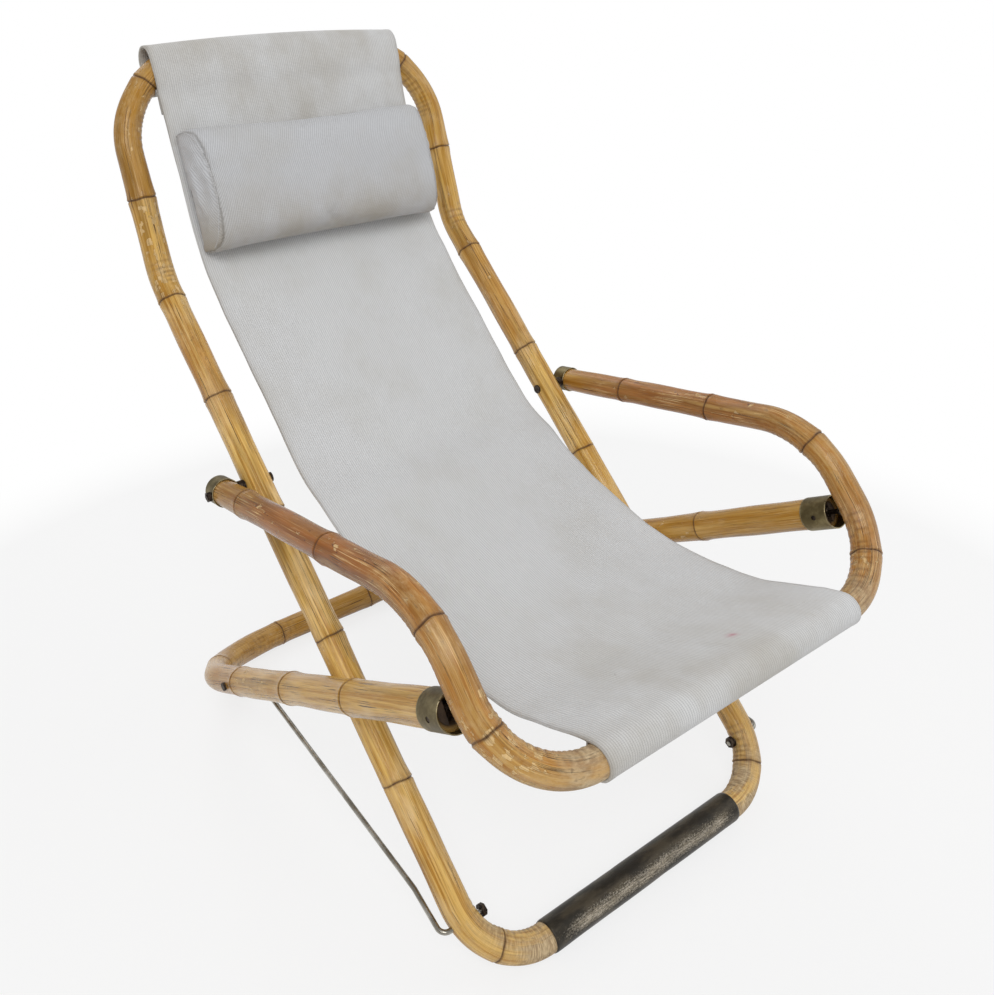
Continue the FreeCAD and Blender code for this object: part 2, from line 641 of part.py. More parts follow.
def add_tie_rods():
    """The steel rods, bent in through the back rails, with an eye at the upper end."""
    rod_line = rod_top - rod_foot
    rod_angle = math.degrees(math.atan2(rod_line.z, rod_line.y))
    corner_in = size("bottom_corner_radius") - size("rod_rail_place")
    spread = (size("bottom_corner_radius") + rail_radius) ** 2 - corner_in ** 2
    corner_face = size("rail_half_width") - size("bottom_corner_radius") + math.sqrt(spread)
    face_at_foot = corner_face if corner_in > 0 else number(RAIL_FACE)
    outer_x = face_at_foot + size("rod_rail_gap") + size("rod_bend_radius") + rod_radius
    inside_spread = (size("bottom_corner_radius") - rail_radius) ** 2
    inside_spread -= (corner_in + size("washer_diameter") / 2) ** 2
    inside_face = size("rail_half_width") - size("bottom_corner_radius") + math.sqrt(inside_spread)
    if corner_in <= 0:
        inside_face = size("rail_half_width") - rail_radius
    washer_x = inside_face - size("turn_gap")
    inner_x = washer_x - size("washer_thickness") - size("rod_thread")
    body = doc.addObject("PartDesign::Body", "tie_rod_body")
    path = new_sketch(body, "tie_rod_path", "XY_Plane")
    eye_x = number(ROD_SIDE)
    first = Vector(-inner_x, 0, 0)
    corner = Vector(-outer_x, 0, 0)
    joggle = Vector(-eye_x, size("rod_joggle_place"), 0)
    end = Vector(-eye_x, rod_line.Length - size("rod_eye_diameter") / 4, 0)
    wire = rounded_wire([first, corner, joggle, end], [size("rod_bend_radius"), size("rod_joggle_radius")])
    for edge in wire.Edges:
        curve = edge.Curve
        if isinstance(curve, Part.Line):
            path.addGeometry(Part.LineSegment(edge.Vertexes[0].Point, edge.Vertexes[1].Point))
        else:
            middle = edge.valueAt((edge.FirstParameter + edge.LastParameter) / 2)
            path.addGeometry(Part.Arc(edge.Vertexes[0].Point, middle, edge.Vertexes[1].Point))
    section = new_sketch(body, "tie_rod_section", "YZ_Plane")
    circles(section, [ROD_RADIUS])
    section.AttachmentOffset = Placement(Vector(0, 0, -inner_x), Rotation())
    pipe = body.newObject("PartDesign::AdditivePipe", "tie_rod_pipe")
    pipe.Profile = section
    pipe.Spine = path
    body.Placement = Placement(rod_foot, Rotation(X_AXIS, rod_angle))
    eye_start = at_side(rod_top, -eye_x - size("rod_eye_thickness") / 2)
    eye = cylinder("rod_eye", "sizes.rod_eye_diameter / 2", "sizes.rod_eye_thickness",
                   along(eye_start, X_AXIS))
    hole_start = eye_start - X_AXIS * size("rod_diameter")
    hole = cylinder("rod_eye_hole", "sizes.rod_bolt_diameter / 2 + sizes.slide_gap",
                    "3 * sizes.rod_diameter", along(hole_start, X_AXIS))
    left = keep("tie_rod_left", cut("tie_rod", fused("tie_rod", body, eye), hole))
    keep("tie_rod_right", mirrored("tie_rod_right", left))
    washer_start = at_side(rod_foot, -washer_x)
    washer = ring("tie_rod_washer", "sizes.washer_diameter / 2", ROD_RADIUS + " + sizes.seat_gap",
                  "sizes.washer_thickness", along(washer_start, X_AXIS))
    keep("tie_rod_washer_left", washer)
    keep("tie_rod_washer_right", mirrored("tie_rod_washer_right", washer))
    nut_start = washer_start + X_AXIS * (size("washer_thickness") + size("seat_gap"))
    block = hexagon("tie_rod_nut", "sizes.small_nut_width", "sizes.small_nut_height",
                    along(nut_start, X_AXIS))
    thread = cylinder("tie_rod_thread", ROD_RADIUS + " + sizes.seat_gap / 2", "sizes.small_nut_height",
                      along(nut_start, X_AXIS))
    nut = keep("tie_rod_nut_left", cut("tie_rod_nut", block, thread))
    keep("tie_rod_nut_right", mirrored("tie_rod_nut_right", nut))


# How far the sling stands off the rails at their bend, as a share of its usual offset.
KNEE_OFFSET = 1.21


def forward_normal(way):
    """The direction at right angles to a way up the chair, towards the sitter."""
    return Vector(0, -way.z, way.y)


def pocket_depth():
    """How far the top pocket reaches down, so that the curved ends of the top bar lie in it."""
    straight = size("rail_half_width") - size("top_corner_radius")
    into_corner = size("sling_half_width") - straight
    radius = size("top_corner_radius")
    if into_corner <= 0:
        return 0.0
    tilt = math.asin(into_corner / radius)
    drop = radius - radius * math.cos(tilt)
    return drop + rail_radius / math.cos(tilt) - rail_radius + size("cloth_gap")


def loop_face(centre, way, depth, radius):
    """A face with round ends about the centre and a point below it along the way."""
    normal = forward_normal(way)
    low = centre - way * depth
    if depth < size("cloth_thickness"):
        return Part.Face(Part.Wire(Part.makeCircle(radius, centre, X_AXIS)))
    edges = [
        Part.Arc(centre + normal * radius, centre + way * radius, centre - normal * radius).toShape(),
        Part.LineSegment(centre - normal * radius, low - normal * radius).toShape(),
        Part.Arc(low - normal * radius, low - way * radius, low + normal * radius).toShape(),
        Part.LineSegment(low + normal * radius, centre + normal * radius).toShape(),
    ]
    return Part.Face(Part.Wire(edges))


def cloth_profile():
    """Points along the sling's upper face, from the top pocket down to the front sleeve."""
    head_normal = forward_normal(head_way)
    offset = size("sling_rail_offset")
    wall = rail_radius + cloth_ring
    thickness = size("cloth_thickness")
    low = top_bar - head_way * pocket_depth()
    upper = [
        low + head_way * thickness + head_normal * (wall - 0.1 * thickness),
        low - head_way * wall * 0.45 + head_normal * (wall - 0.6 * thickness),
        low - head_way * wall * 1.2 + head_normal * (offset + 0.65 * thickness),
        top_bar - head_way * size("head_length") * 0.42 + head_normal * offset,
        top_bar - head_way * size("head_length") * 0.66 + head_normal * offset,
        top_bar - head_way * size("head_length") * 0.93 + head_normal * offset * KNEE_OFFSET,
    ]
    # Share of the way from the bend down to the arm pivot's place, and height above the rail's
    # centre line as a share of the sling's usual offset.
    rail_normal = forward_normal(rail_way)
    rail_run = size("rail_length") - size("arm_pivot_place")
    rail_part = [(0.228, 0.98), (0.45, 0.80), (0.859, 0.63), (1.081, 0.77)]
    below = [rail_bend - rail_way * rail_run * share + rail_normal * offset * height
             for share, height in rail_part]
    # Share of the way from the arm pivot to the front bar, and depth below that line as a share
    # of the seat's sag.
    seat_line = front_bar - arm_pivot
    seat_normal = Vector(0, -seat_line.z, seat_line.y).normalize()
    seat_part = [(0.128, 0.28), (0.26, 0.68), (0.375, 0.88), (0.49, 1.0), (0.606, 0.97), (0.72, 0.78),
                 (0.797, 0.58)]
    seat = [arm_pivot + seat_line * share + seat_normal * size("seat_sag") * depth
            for share, depth in seat_part]
    sleeve_radius = arm_radius + cloth_ring
    slope = math.radians(size("front_slope"))
    leave = front_bar + Vector(0, math.sin(slope), math.cos(slope)) * sleeve_radius
    lead = Vector(0, math.cos(slope), -math.sin(slope))
    return upper + below + seat + [leave + lead * sleeve_radius, leave]


def cloth_strip(points):
    """A strip of cloth whose upper face runs through the points."""
    upper = Part.BSplineCurve()
    upper.interpolate(points)
    lower_points = []
    for point in points:
        tangent = upper.tangent(upper.parameter(point))[0]
        normal = forward_normal(tangent)
        if normal.z < 0:
            normal = -normal
        lower_points.append(point - normal * size("cloth_thickness"))
    lower = Part.BSplineCurve()
    lower.interpolate(lower_points)
    edges = [
        upper.toShape(),
        Part.LineSegment(points[-1], lower_points[-1]).toShape(),
        lower.toShape(),
        Part.LineSegment(lower_points[0], points[0]).toShape(),
    ]
    return across(Part.Face(Part.Wire(Part.__sortEdges__(edges))))


def across(face):
    """A face of the side plane, widened to the width of the sling."""
    half_width = size("sling_half_width")
    face = face.translated(Vector(-half_width, 0, 0))
    return face.extrude(Vector(2 * half_width, 0, 0))


def split_profile(points, distance, keep_before):
    """The part of the profile before or after a distance along it from the arm pivot's foot."""
    curve = Part.BSplineCurve()
    curve.interpolate(points)
    foot = curve.parameter(arm_pivot)
    direction = -1 if keep_before else 1
    limit = foot
    travelled = 0.0
    step = direction * 0.0005 * (curve.LastParameter - curve.FirstParameter)
    while travelled < distance:
        travelled += (curve.value(limit + step) - curve.value(limit)).Length
        limit += step
    margin = 6 * abs(step)
    if keep_before:
        chosen = [point for point in points if curve.parameter(point) < limit - margin]
        return chosen + [curve.value(limit)]
    chosen = [point for point in points if curve.parameter(point) > limit + margin]
    return [curve.value(limit)] + chosen


def add_sling():
    """The canvas: a back part with the top pocket and a seat part with the front sleeve."""
    profile = cloth_profile()
    thickness = size("cloth_thickness")
    gap = size("cloth_gap")
    depth = pocket_depth()
    pocket = across(loop_face(top_bar, head_way, depth, rail_radius + gap + thickness))
    pocket = pocket.cut(across(loop_face(top_bar, head_way, depth, rail_radius + gap)))
    back = cloth_strip(split_profile(profile, size("fold_gap_above"), True))
    back = back.cut(across(loop_face(top_bar, head_way, depth, rail_radius + gap)))
    keep("sling_back", feature("sling_back", pocket.fuse(back).Solids[0]))
    sleeve = across(loop_face(front_bar, arm_way, 0, arm_radius + gap + thickness))
    sleeve_bore = across(loop_face(front_bar, arm_way, 0, arm_radius + gap))
    seat = cloth_strip(split_profile(profile, size("fold_gap_below"), False))
    keep("sling_seat", feature("sling_seat", sleeve.fuse(seat).cut(sleeve_bore).Solids[0]))


def add_pillow():
    """The stuffed head pillow, on the front of the sling below the top bar."""
    body = doc.addObject("PartDesign::Body", "pillow_body")
    outline = new_sketch(body, "pillow_outline", "YZ_Plane")
    width = "sizes.pillow_depth"
    height = "sizes.pillow_height"
    corners = [("0", "0"), (width, "0"), (width, height), ("0", height)]
    for count, start in enumerate(corners):
        stop = corners[(count + 1) % len(corners)]
        first = Vector(number(start[0]), number(start[1]), 0)
        last = Vector(number(stop[0]), number(stop[1]), 0)
        index = outline.addGeometry(Part.LineSegment(first, last))
        fix_end(outline, index, 1, *start)
        fix_end(outline, index, 2, *stop)
    pad = body.newObject("PartDesign::Pad", "pillow_pad")
    pad.Profile = outline
    pad.setExpression("Length", "sizes.pillow_width")
    pad.SideType = "Symmetric"
    doc.recompute()
    long_edges = []
    for count, edge in enumerate(pad.Shape.Edges, start=1):
        start, stop = edge.Vertexes
        if abs(start.X - stop.X) > 1 and start.Y > size("pillow_depth") / 2:
            long_edges.append("Edge%d" % count)
    rounding = body.newObject("PartDesign::Fillet", "pillow_rounding")
    rounding.Base = (pad, long_edges)
    rounding.setExpression("Radius", "sizes.pillow_round")
    doc.recompute()
    end_faces = []
    for count, face in enumerate(rounding.Shape.Faces, start=1):
        box = face.BoundBox
        if box.XLength < 0.1:
            end_faces.append("Face%d" % count)
    ends = body.newObject("PartDesign::Fillet", "pillow_end_rounding")
    ends.Base = (rounding, end_faces)
    ends.setExpression("Radius", "sizes.pillow_end_round")
    low_place = size("pillow_place") + size("pillow_height")
    seat = size("sling_rail_offset") * KNEE_OFFSET + size("pillow_gap")
    corner = top_bar - head_way * low_place + forward_normal(head_way) * seat
    angle = size("rail_lean") + size("rail_bend") - size("pillow_tilt") - 90
    turn = Rotation(X_AXIS, angle).multiply(Rotation(Vector(0, 0, 1), 180))
    body.Placement = Placement(corner, turn)
    keep("head_pillow", body)


def check_and_write():
    """Stop on any failed object or bad shape, then write one file for each node."""
    doc.recompute()
    for item in doc.Objects:
        if "Invalid" in item.State or "Error" in item.State:
            raise RuntimeError("failed object: " + item.Name)
    for name, item in nodes.items():
        shape = item.Shape
        if shape.isNull() or not shape.isValid() or not shape.Solids:
            raise RuntimeError("bad shape: " + name)
        shape.exportStep("parts/%s.step" % name)
        box = shape.BoundBox
        print("%-22s %d solids %10.1f mm3  y %.1f..%.1f  z %.1f..%.1f"
              % (name, len(shape.Solids), shape.Volume, box.YMin, box.YMax, box.ZMin, box.ZMax))


add_back_frame()
add_arm_frame()
add_arm_caps()
add_arm_pivots()
add_eye_bolts()
add_base_frame()
add_hinges()
add_rod_bolts()
add_tie_rods()
add_sling()
add_pillow()
check_and_write()

for title, place in (("arm pivot", arm_pivot), ("base hinge", hinge_pin), ("rod foot", rod_foot),
                     ("rod top", rod_top), ("front bar", front_bar), ("top bar", top_bar),
                     ("rear bar", rear_bar), ("centre shift", centre_shift)):
    print("%-12s y %.3f z %.3f" % (title, place.y, place.z))
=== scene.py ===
import json
import math

import bmesh
import bpy
import numpy as np
from mathutils import Matrix, Vector, noise
from mathutils.bvhtree import BVHTree


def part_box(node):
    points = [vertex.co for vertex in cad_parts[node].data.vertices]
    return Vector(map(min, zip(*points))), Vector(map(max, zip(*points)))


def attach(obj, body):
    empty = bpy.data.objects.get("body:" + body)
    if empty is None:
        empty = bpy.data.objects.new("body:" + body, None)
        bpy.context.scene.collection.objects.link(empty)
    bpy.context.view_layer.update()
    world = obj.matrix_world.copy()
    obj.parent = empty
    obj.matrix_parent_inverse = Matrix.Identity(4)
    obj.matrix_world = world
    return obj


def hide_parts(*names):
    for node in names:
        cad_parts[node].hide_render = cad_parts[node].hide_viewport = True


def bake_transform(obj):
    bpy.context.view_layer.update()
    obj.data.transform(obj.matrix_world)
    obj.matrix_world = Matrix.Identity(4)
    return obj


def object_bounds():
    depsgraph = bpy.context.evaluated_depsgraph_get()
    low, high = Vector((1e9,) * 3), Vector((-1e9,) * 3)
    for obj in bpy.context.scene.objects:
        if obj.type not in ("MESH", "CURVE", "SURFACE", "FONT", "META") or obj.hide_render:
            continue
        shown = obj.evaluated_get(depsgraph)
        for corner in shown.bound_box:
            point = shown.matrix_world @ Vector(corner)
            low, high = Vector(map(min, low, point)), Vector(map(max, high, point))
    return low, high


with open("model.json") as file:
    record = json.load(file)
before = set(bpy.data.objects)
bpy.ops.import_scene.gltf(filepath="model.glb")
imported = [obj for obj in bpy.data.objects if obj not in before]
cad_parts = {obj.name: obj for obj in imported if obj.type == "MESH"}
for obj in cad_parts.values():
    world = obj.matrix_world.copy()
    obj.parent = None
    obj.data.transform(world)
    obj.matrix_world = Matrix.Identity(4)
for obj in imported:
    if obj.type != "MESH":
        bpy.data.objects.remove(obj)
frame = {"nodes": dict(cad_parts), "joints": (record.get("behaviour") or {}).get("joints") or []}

# Bamboo folding recliner. Metres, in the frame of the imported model: Z is up and -Y is the front.

cad_low, cad_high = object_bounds()

pivots = {joint["name"]: Vector(joint["pos_m"]) for joint in frame["joints"]}
arm_pivot, base_hinge = pivots["arm_fold"], pivots["base_fold"]


def side_way(degrees):
    """A direction in the side plane, from +Y towards +Z."""
    angle = math.radians(degrees)
    return Vector((0, math.cos(angle), math.sin(angle)))


def at_side(point, x):
    """A point of the side plane, moved out to x."""
    return Vector((x, point.y, point.z))


def turned(first, second, angle):
    """The direction at an angle from first towards second."""
    return first * math.cos(angle) + second * math.sin(angle)


def within(value):
    """A value kept within 0 and 1."""
    return min(max(value, 0), 1)


def bell(distance, width):
    """1 at no distance, falling away over a width to either side."""
    return np.exp(-(distance / width) ** 2)


def ripple(x, y, z):
    """Smooth noise about 0 at a place."""
    return noise.noise(Vector((x, y, z)))


# The chair's shape, as it is built: poles, bends and the angles between them.
RAIL_LEAN = 43.4
RAIL_BEND = 28.4
RAIL_LENGTH = 0.895
HEAD_LENGTH = 0.265
RAIL_HALF_WIDTH = 0.233
RAIL_RADIUS = 0.017
RAIL_CORNERS = (0.080, 0.090, 0.112)
ARM_RISE = 8.9
ARM_DROP = 48.8
ARM_LENGTH = 0.404
DROP_LENGTH = 0.189
ARM_RADIUS = 0.016
ARM_HALF_WIDTH = 0.276
ARM_TAIL = 0.014
ARM_BEND = 0.118
FRONT_CORNER = 0.095
BASE_SLOPE = 29.1
BASE_RADIUS = 0.0185
BASE_HALF_WIDTH = 0.2766
BASE_LEAD = 0.006
REAR_CORNER = 0.190
RAIL_BORE = 0.011
ARM_BORE = 0.010
BASE_BORE = 0.012
ROD_STRETCH = 0.75
HEAD_BOW = 0.0045
CLOTH_GAP = 0.0008
CLOTH = 0.002

rail_way = side_way(RAIL_LEAN)
head_way = side_way(RAIL_LEAN + RAIL_BEND)
arm_way = side_way(180 - ARM_RISE)
drop_way = side_way(180 + ARM_DROP)
base_way = side_way(-BASE_SLOPE)
sleeve_low, sleeve_high = [Vector(corner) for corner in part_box("floor_sleeve")]
floor_bar = at_side((sleeve_high + sleeve_low) / 2, 0)
rail_knee = floor_bar + rail_way * RAIL_LENGTH
top_bar = rail_knee + head_way * HEAD_LENGTH
arm_knee = arm_pivot + arm_way * ARM_LENGTH
front_bar = arm_knee + drop_way * DROP_LENGTH
base_reach = (base_hinge.z - BASE_RADIUS) / math.sin(math.radians(BASE_SLOPE))
rear_bar = base_hinge + base_way * base_reach


# Materials.

# What is stored on each point of a pole: how deep its gold is, how bent, red, bleached and flaked it is,
# painted shade in the troughs of its creases, the ring of the node, the stretch beside it, and the inside of
# a cut end, painted dark as shade.
POLE_ATTRIBUTES = ("tone", "bend", "red", "bare", "worn", "crease_shade", "node_line", "node_near", "inner")


class Graph:
    """A short way to write the nodes of a material or of the world."""

    def __init__(self, owner):
        owner.use_nodes = True
        self.owner = owner
        self.nodes = owner.node_tree.nodes
        self.links = owner.node_tree.links
        self.shader = self.nodes.get("Principled BSDF") or self.nodes["Background"]

    def plug(self, target, value):
        """Set a socket to a number or a colour, or link it to another socket."""
        if isinstance(value, bpy.types.NodeSocket):
            self.links.new(value, target)
        elif isinstance(value, tuple) and len(value) == 3 and target.type == "RGBA":
            target.default_value = (*value, 1)
        else:
            target.default_value = value

    def node(self, kind, inputs=(), output=0, **settings):
        """One output of a new node, made with settings and pairs of inputs and values."""
        made = self.nodes.new(kind)
        for key, value in settings.items():
            setattr(made, key, value)
        for key, value in inputs:
            self.plug(made.inputs[key], value)
        return made.outputs[output]

    def set(self, **values):
        """Set the shader's sockets; an underscore stands for a space."""
        for key, value in values.items():
            self.plug(self.shader.inputs[key.replace("_", " ")], value)

    def attribute(self, name, output="Fac"):
        """A value stored on the mesh."""
        return self.node("ShaderNodeAttribute", output=output, attribute_name=name)

    def math(self, operation, first, second=0.0, clamp=False):
        """One sum on two values."""
        return self.node("ShaderNodeMath", ((0, first), (1, second)), operation=operation, use_clamp=clamp)

    def add(self, first, *others):
        """The sum of values."""
        for other in others:
            first = self.math("ADD", first, other)
        return first

    def times(self, first, second):
        """The product of two values."""
        return self.math("MULTIPLY", first, second)

    def part(self, first, second):
        """The product of two values, kept within 0 and 1."""
        return self.math("MULTIPLY", first, second, clamp=True)

    def scaled(self, place, scale):
        """A vector times another."""
        return self.node("ShaderNodeVectorMath", ((0, place), (1, scale)), operation="MULTIPLY")

    def noise(self, place, scale, detail=3.0, roughness=0.55, distortion=0.0):
        """Smooth noise from 0 to 1, with a scale for each axis."""
        return self.node("ShaderNodeTexNoise", (
            ("Vector", self.scaled(place, scale)), ("Scale", 1.0), ("Detail", detail),
            ("Roughness", roughness), ("Distortion", distortion)), "Fac")

    def cells(self, place, scale):
        """A random value from 0 to 1 in each of many squarish cells."""
        colour = self.node("ShaderNodeTexVoronoi", (("Vector", self.scaled(place, scale)), ("Scale", 1.0)),
                           "Color", distance="CHEBYCHEV")
        return self.node("ShaderNodeSeparateColor", ((0, colour),))

    def step(self, value, low, high):
        """0 below low, 1 above high, smooth between them."""
        return self.node("ShaderNodeMapRange", (("Value", value), ("From Min", low), ("From Max", high)),
                         "Result", interpolation_type="SMOOTHSTEP")

    def mix(self, factor, first, second):
        """Two colours mixed."""
        return self.node("ShaderNodeMix", (("Factor", factor), (6, first), (7, second)), 2, data_type="RGBA")

    def layers(self, base, *layers):
        """Colours laid over a base in turn, each by a factor times a share."""
        for factor, share, colour in layers:
            base = self.mix(self.part(factor, share), base, colour)
        return base

    def bump(self, height, distance, strength):
        """A bump from a height that runs from 0 to 1, over a distance in metres."""
        self.set(Normal=self.node("ShaderNodeBump", (
            ("Height", height), ("Distance", distance), ("Strength", strength))))


def bamboo_material(name):
    """Varnished bamboo: long fibres, dark node rings, flaked varnish, bleached bends, and painted shade in
    creases and hollow ends.
    """
    graph = Graph(bpy.data.materials.new(name))
    step, part, add, times = graph.step, graph.part, graph.add, graph.times
    place = graph.attribute("pole_place", "Vector")

    def grain(across, along, **settings):
        """Noise drawn out along the pole."""
        return graph.noise(place, (across, across, along), **settings)

    fibre = grain(1500, 22, detail=2)
    streak = grain(330, 6, distortion=0.3)
    side = grain(48, 5, detail=2)
    blotch = grain(45, 17, detail=4)
    patch = grain(120, 60, detail=5, roughness=0.7)
    tone, bend, red, bare, worn, crease_shade, node_line, node_near, inner = [
        graph.attribute(key) for key in POLE_ATTRIBUTES]

    # Gold, deeper by tone and redder by red.
    gold = graph.mix(step(streak, 0.34, 0.66), (0.50, 0.245, 0.032), (0.88, 0.580, 0.170))
    gold = graph.mix(step(blotch, 0.45, 0.75), gold, (0.86, 0.61, 0.28))
    reddened = graph.mix(step(side, 0.35, 0.65), (0.135, 0.030, 0.008), (0.40, 0.132, 0.030))

    # Scratches, open cracks and bruises, bleached bends and squarish flakes of lost varnish.
    scratch = part(step(grain(1150, 17, detail=2), 0.575, 0.64), step(blotch, 0.44, 0.58))
    crack = part(step(grain(900, 9, distortion=0.5), 0.605, 0.65), step(blotch, 0.42, 0.56))
    bruise = part(step(patch, 0.625, 0.675), red)
    bleach = part(bend, step(patch, 0.40, 0.66))
    rough_cell = add(graph.cells(place, (210, 210, 130)), times(add(patch, -0.5), 0.9))
    edge = add(1.16, times(worn, -0.42))
    peel = part(step(rough_cell, edge, add(edge, 0.03)), step(fibre, 0.66, 0.50))

    # Bare stretches: hatched across the pole, or patchy where the pole is red.
    across = grain(110, 900)
    hatch = add(across, times(add(patch, times(across, -1.0)), step(red, 0.02, 0.20)))
    bared = part(bare, add(0.25, step(blotch, 0.35, 0.60)))
    wood = graph.mix(step(hatch, 0.36, 0.64), (0.34, 0.235, 0.135), (0.62, 0.485, 0.30))
    wood = graph.layers(wood, (step(patch, 0.57, 0.66), 0.8, (0.17, 0.130, 0.090)))
    grime = part(graph.math("POWER", node_near, 2.0), step(patch, 0.30, 0.62))

    base = graph.layers(
        gold,
        (tone, 0.88, (0.350, 0.158, 0.012)),
        (red, 0.84, reddened),
        (step(side, 0.54, 0.66), 0.46, (0.18, 0.085, 0.010)),
        (step(side, 0.42, 0.30), 0.35, (0.78, 0.50, 0.17)),
        (step(fibre, 0.55, 0.68), 0.42, (0.13, 0.048, 0.010)),
        (step(fibre, 0.42, 0.30), 0.26, (0.80, 0.55, 0.24)),
        (scratch, add(0.30, part(red, 0.60)), (0.82, 0.58, 0.27)),
        (crack, 0.92, (0.050, 0.020, 0.008)),
        (bruise, 0.8, (0.090, 0.030, 0.022)),
        (bleach, 0.40, (0.60, 0.42, 0.20)),
        (peel, 0.72, (0.80, 0.57, 0.28)),
        (bared, 0.90, wood),
        (grime, 0.42, (0.17, 0.062, 0.018)),
        # Painted shade in the troughs of the creases on the bends.
        (crease_shade, 0.7, (0.13, 0.055, 0.020)))
    ring = times(node_line, add(0.50, times(patch, 0.8)))
    base = graph.mix(graph.math("MINIMUM", ring, 0.97), base, (0.050, 0.018, 0.007))
    # The inside of each cut end is painted dark: painted shade in the hollow.
    base = graph.mix(inner, base, (0.050, 0.030, 0.016))
    rough = add(0.18, part(peel, 0.30), part(bleach, 0.12), part(bared, 0.40), part(node_line, 0.30))
    graph.set(Base_Color=base, Roughness=graph.math("MINIMUM", rough, 0.8), Specular_IOR_Level=0.28)
    height = add(times(fibre, 0.6), times(streak, 0.5), times(peel, -0.6), times(crack, -0.6),
                 part(bared, times(hatch, 0.8)))
    graph.bump(height, 0.0007, 0.9)
    return graph.owner


def canvas_material(name, light, shade, rib_pitch, twill):
    """Cotton canvas with fine ribs along the sling, faint grime, painted shade where the mesh stores it, and
    specks.
    """
    graph = Graph(bpy.data.materials.new(name))
    step, add, times = graph.step, graph.add, graph.times
    place = graph.attribute("cloth_place", "Vector")
    across, lengthways = [graph.node("ShaderNodeSeparateXYZ", ((0, place),), axis) for axis in (0, 1)]

    def thread(way, pitch):
        """A wave from -1 to 1 over each pitch."""
        return graph.math("SINE", times(way, 2 * math.pi / pitch))

    wobble = times(graph.noise(place, (60, 8, 8), detail=2), 0.0022)
    rib = thread(add(across, wobble, times(lengthways, twill)), rib_pitch)
    pick = thread(lengthways, rib_pitch * 0.62)
    slub = graph.noise(place, (700, 60, 60), detail=2)
    weave = add(times(rib, 0.32), times(pick, 0.12), 0.5, times(slub, 0.35))
    cloud = graph.noise(place, (9, 6, 6), detail=5, roughness=0.6)
    speck = graph.noise(place, (160, 160, 160), detail=1)
    base = graph.layers(
        graph.mix(step(weave, 0.15, 1.0), shade, light),
        (step(cloud, 0.45, 0.75), 0.22, (0.46, 0.44, 0.38)),
        # Stored darkening: grime on the sling's hems and near the front bar, painted shade on the sling's
        # head above the pillow and on the pillow's bottom.
        (graph.attribute("dirt_and_shade"), step(cloud, 0.25, 0.7), (0.30, 0.25, 0.17)),
        (step(speck, 0.80, 0.84), 0.45, (0.14, 0.11, 0.08)),
        (graph.attribute("seam"), 0.30, (0.20, 0.17, 0.13)),
        (graph.attribute("stain"), 0.85, (0.45, 0.10, 0.16)))
    graph.set(Base_Color=base, Roughness=0.88, Sheen_Weight=0.25, Sheen_Roughness=0.5,
              Specular_IOR_Level=0.25)
    graph.bump(weave, 0.0006, 0.7)
    return graph.owner


def metal_material(name, dark, bright, roughness, mottle, metallic=1.0):
    """Metal with mottled patina over a brighter ground."""
    graph = Graph(bpy.data.materials.new(name))
    place = graph.node("ShaderNodeTexCoord", output="Object")
    cloud = graph.noise(place, (mottle,) * 3, detail=5, roughness=0.65)
    fine = graph.noise(place, (mottle * 9,) * 3)
    mixed = graph.mix(graph.step(cloud, 0.38, 0.68), dark, bright)
    mixed = graph.layers(mixed, (graph.step(fine, 0.58, 0.70), 0.5, dark))
    rough = graph.add(roughness, graph.times(fine, 0.18))
    graph.set(Base_Color=mixed, Roughness=rough, Metallic=metallic)
    graph.bump(fine, 0.0003, 0.5)
    return graph.owner


def sleeve_material():
    """Dark enamelled tube with a speckled band of bright metal along its front, partly rubbed bare and
    partly a painted highlight.
    """
    graph = Graph(bpy.data.materials.new("dark_sleeve"))
    step, add, times = graph.step, graph.add, graph.times
    place = graph.attribute("pole_place", "Vector")
    speckle = graph.noise(place, (620, 620, 420), detail=5, roughness=0.80)
    cloud = graph.noise(place, (70, 70, 26), detail=4, roughness=0.6)
    scrape = graph.noise(place, (900, 900, 60), detail=2)
    enamel = graph.mix(step(cloud, 0.40, 0.66), (0.022, 0.018, 0.012), (0.070, 0.056, 0.036))
    metal = graph.mix(step(scrape, 0.4, 0.6), (0.34, 0.29, 0.21), (0.64, 0.57, 0.46))
    # The band ahead is partly metal rubbed bare and partly a painted highlight.
    edge = add(0.66, times(graph.attribute("worn"), -0.36))
    rub_and_highlight = graph.part(step(speckle, edge, add(edge, 0.30)), add(0.45, times(cloud, 0.9)))
    base = graph.layers(enamel, (rub_and_highlight, 0.85, metal))
    graph.set(Base_Color=base, Roughness=add(0.26, times(speckle, 0.30)), Metallic=0.45)
    graph.bump(add(speckle, cloud), 0.0004, 0.7)
    return graph.owner


bamboo = bamboo_material("bamboo")
canvas = canvas_material("canvas", (0.69, 0.695, 0.70), (0.49, 0.495, 0.50), 0.0028, 0.0)
pillow_cloth = canvas_material("pillow_cloth", (0.585, 0.595, 0.615), (0.42, 0.425, 0.44), 0.0030, 0.45)
brass = metal_material("aged_brass", (0.115, 0.088, 0.040), (0.235, 0.190, 0.095), 0.36, 45)
rim_brass = metal_material("worn_brass", (0.24, 0.19, 0.10), (0.46, 0.39, 0.24), 0.30, 90)
steel_rod = metal_material("rod_steel", (0.27, 0.25, 0.21), (0.56, 0.54, 0.49), 0.20, 30)
dark_steel = metal_material("fastener_steel", (0.030, 0.022, 0.018), (0.10, 0.075, 0.055), 0.42, 200)
sleeve_finish = sleeve_material()
# Dark aged wood for the dowels and hinge plugs, darkened further as painted shade of the ferrule mouths.
aged_and_shaded_plug_wood = metal_material("dowel_wood", (0.030, 0.018, 0.010), (0.075, 0.045, 0.024), 0.7, 90, metallic=0.0)


# Meshes.

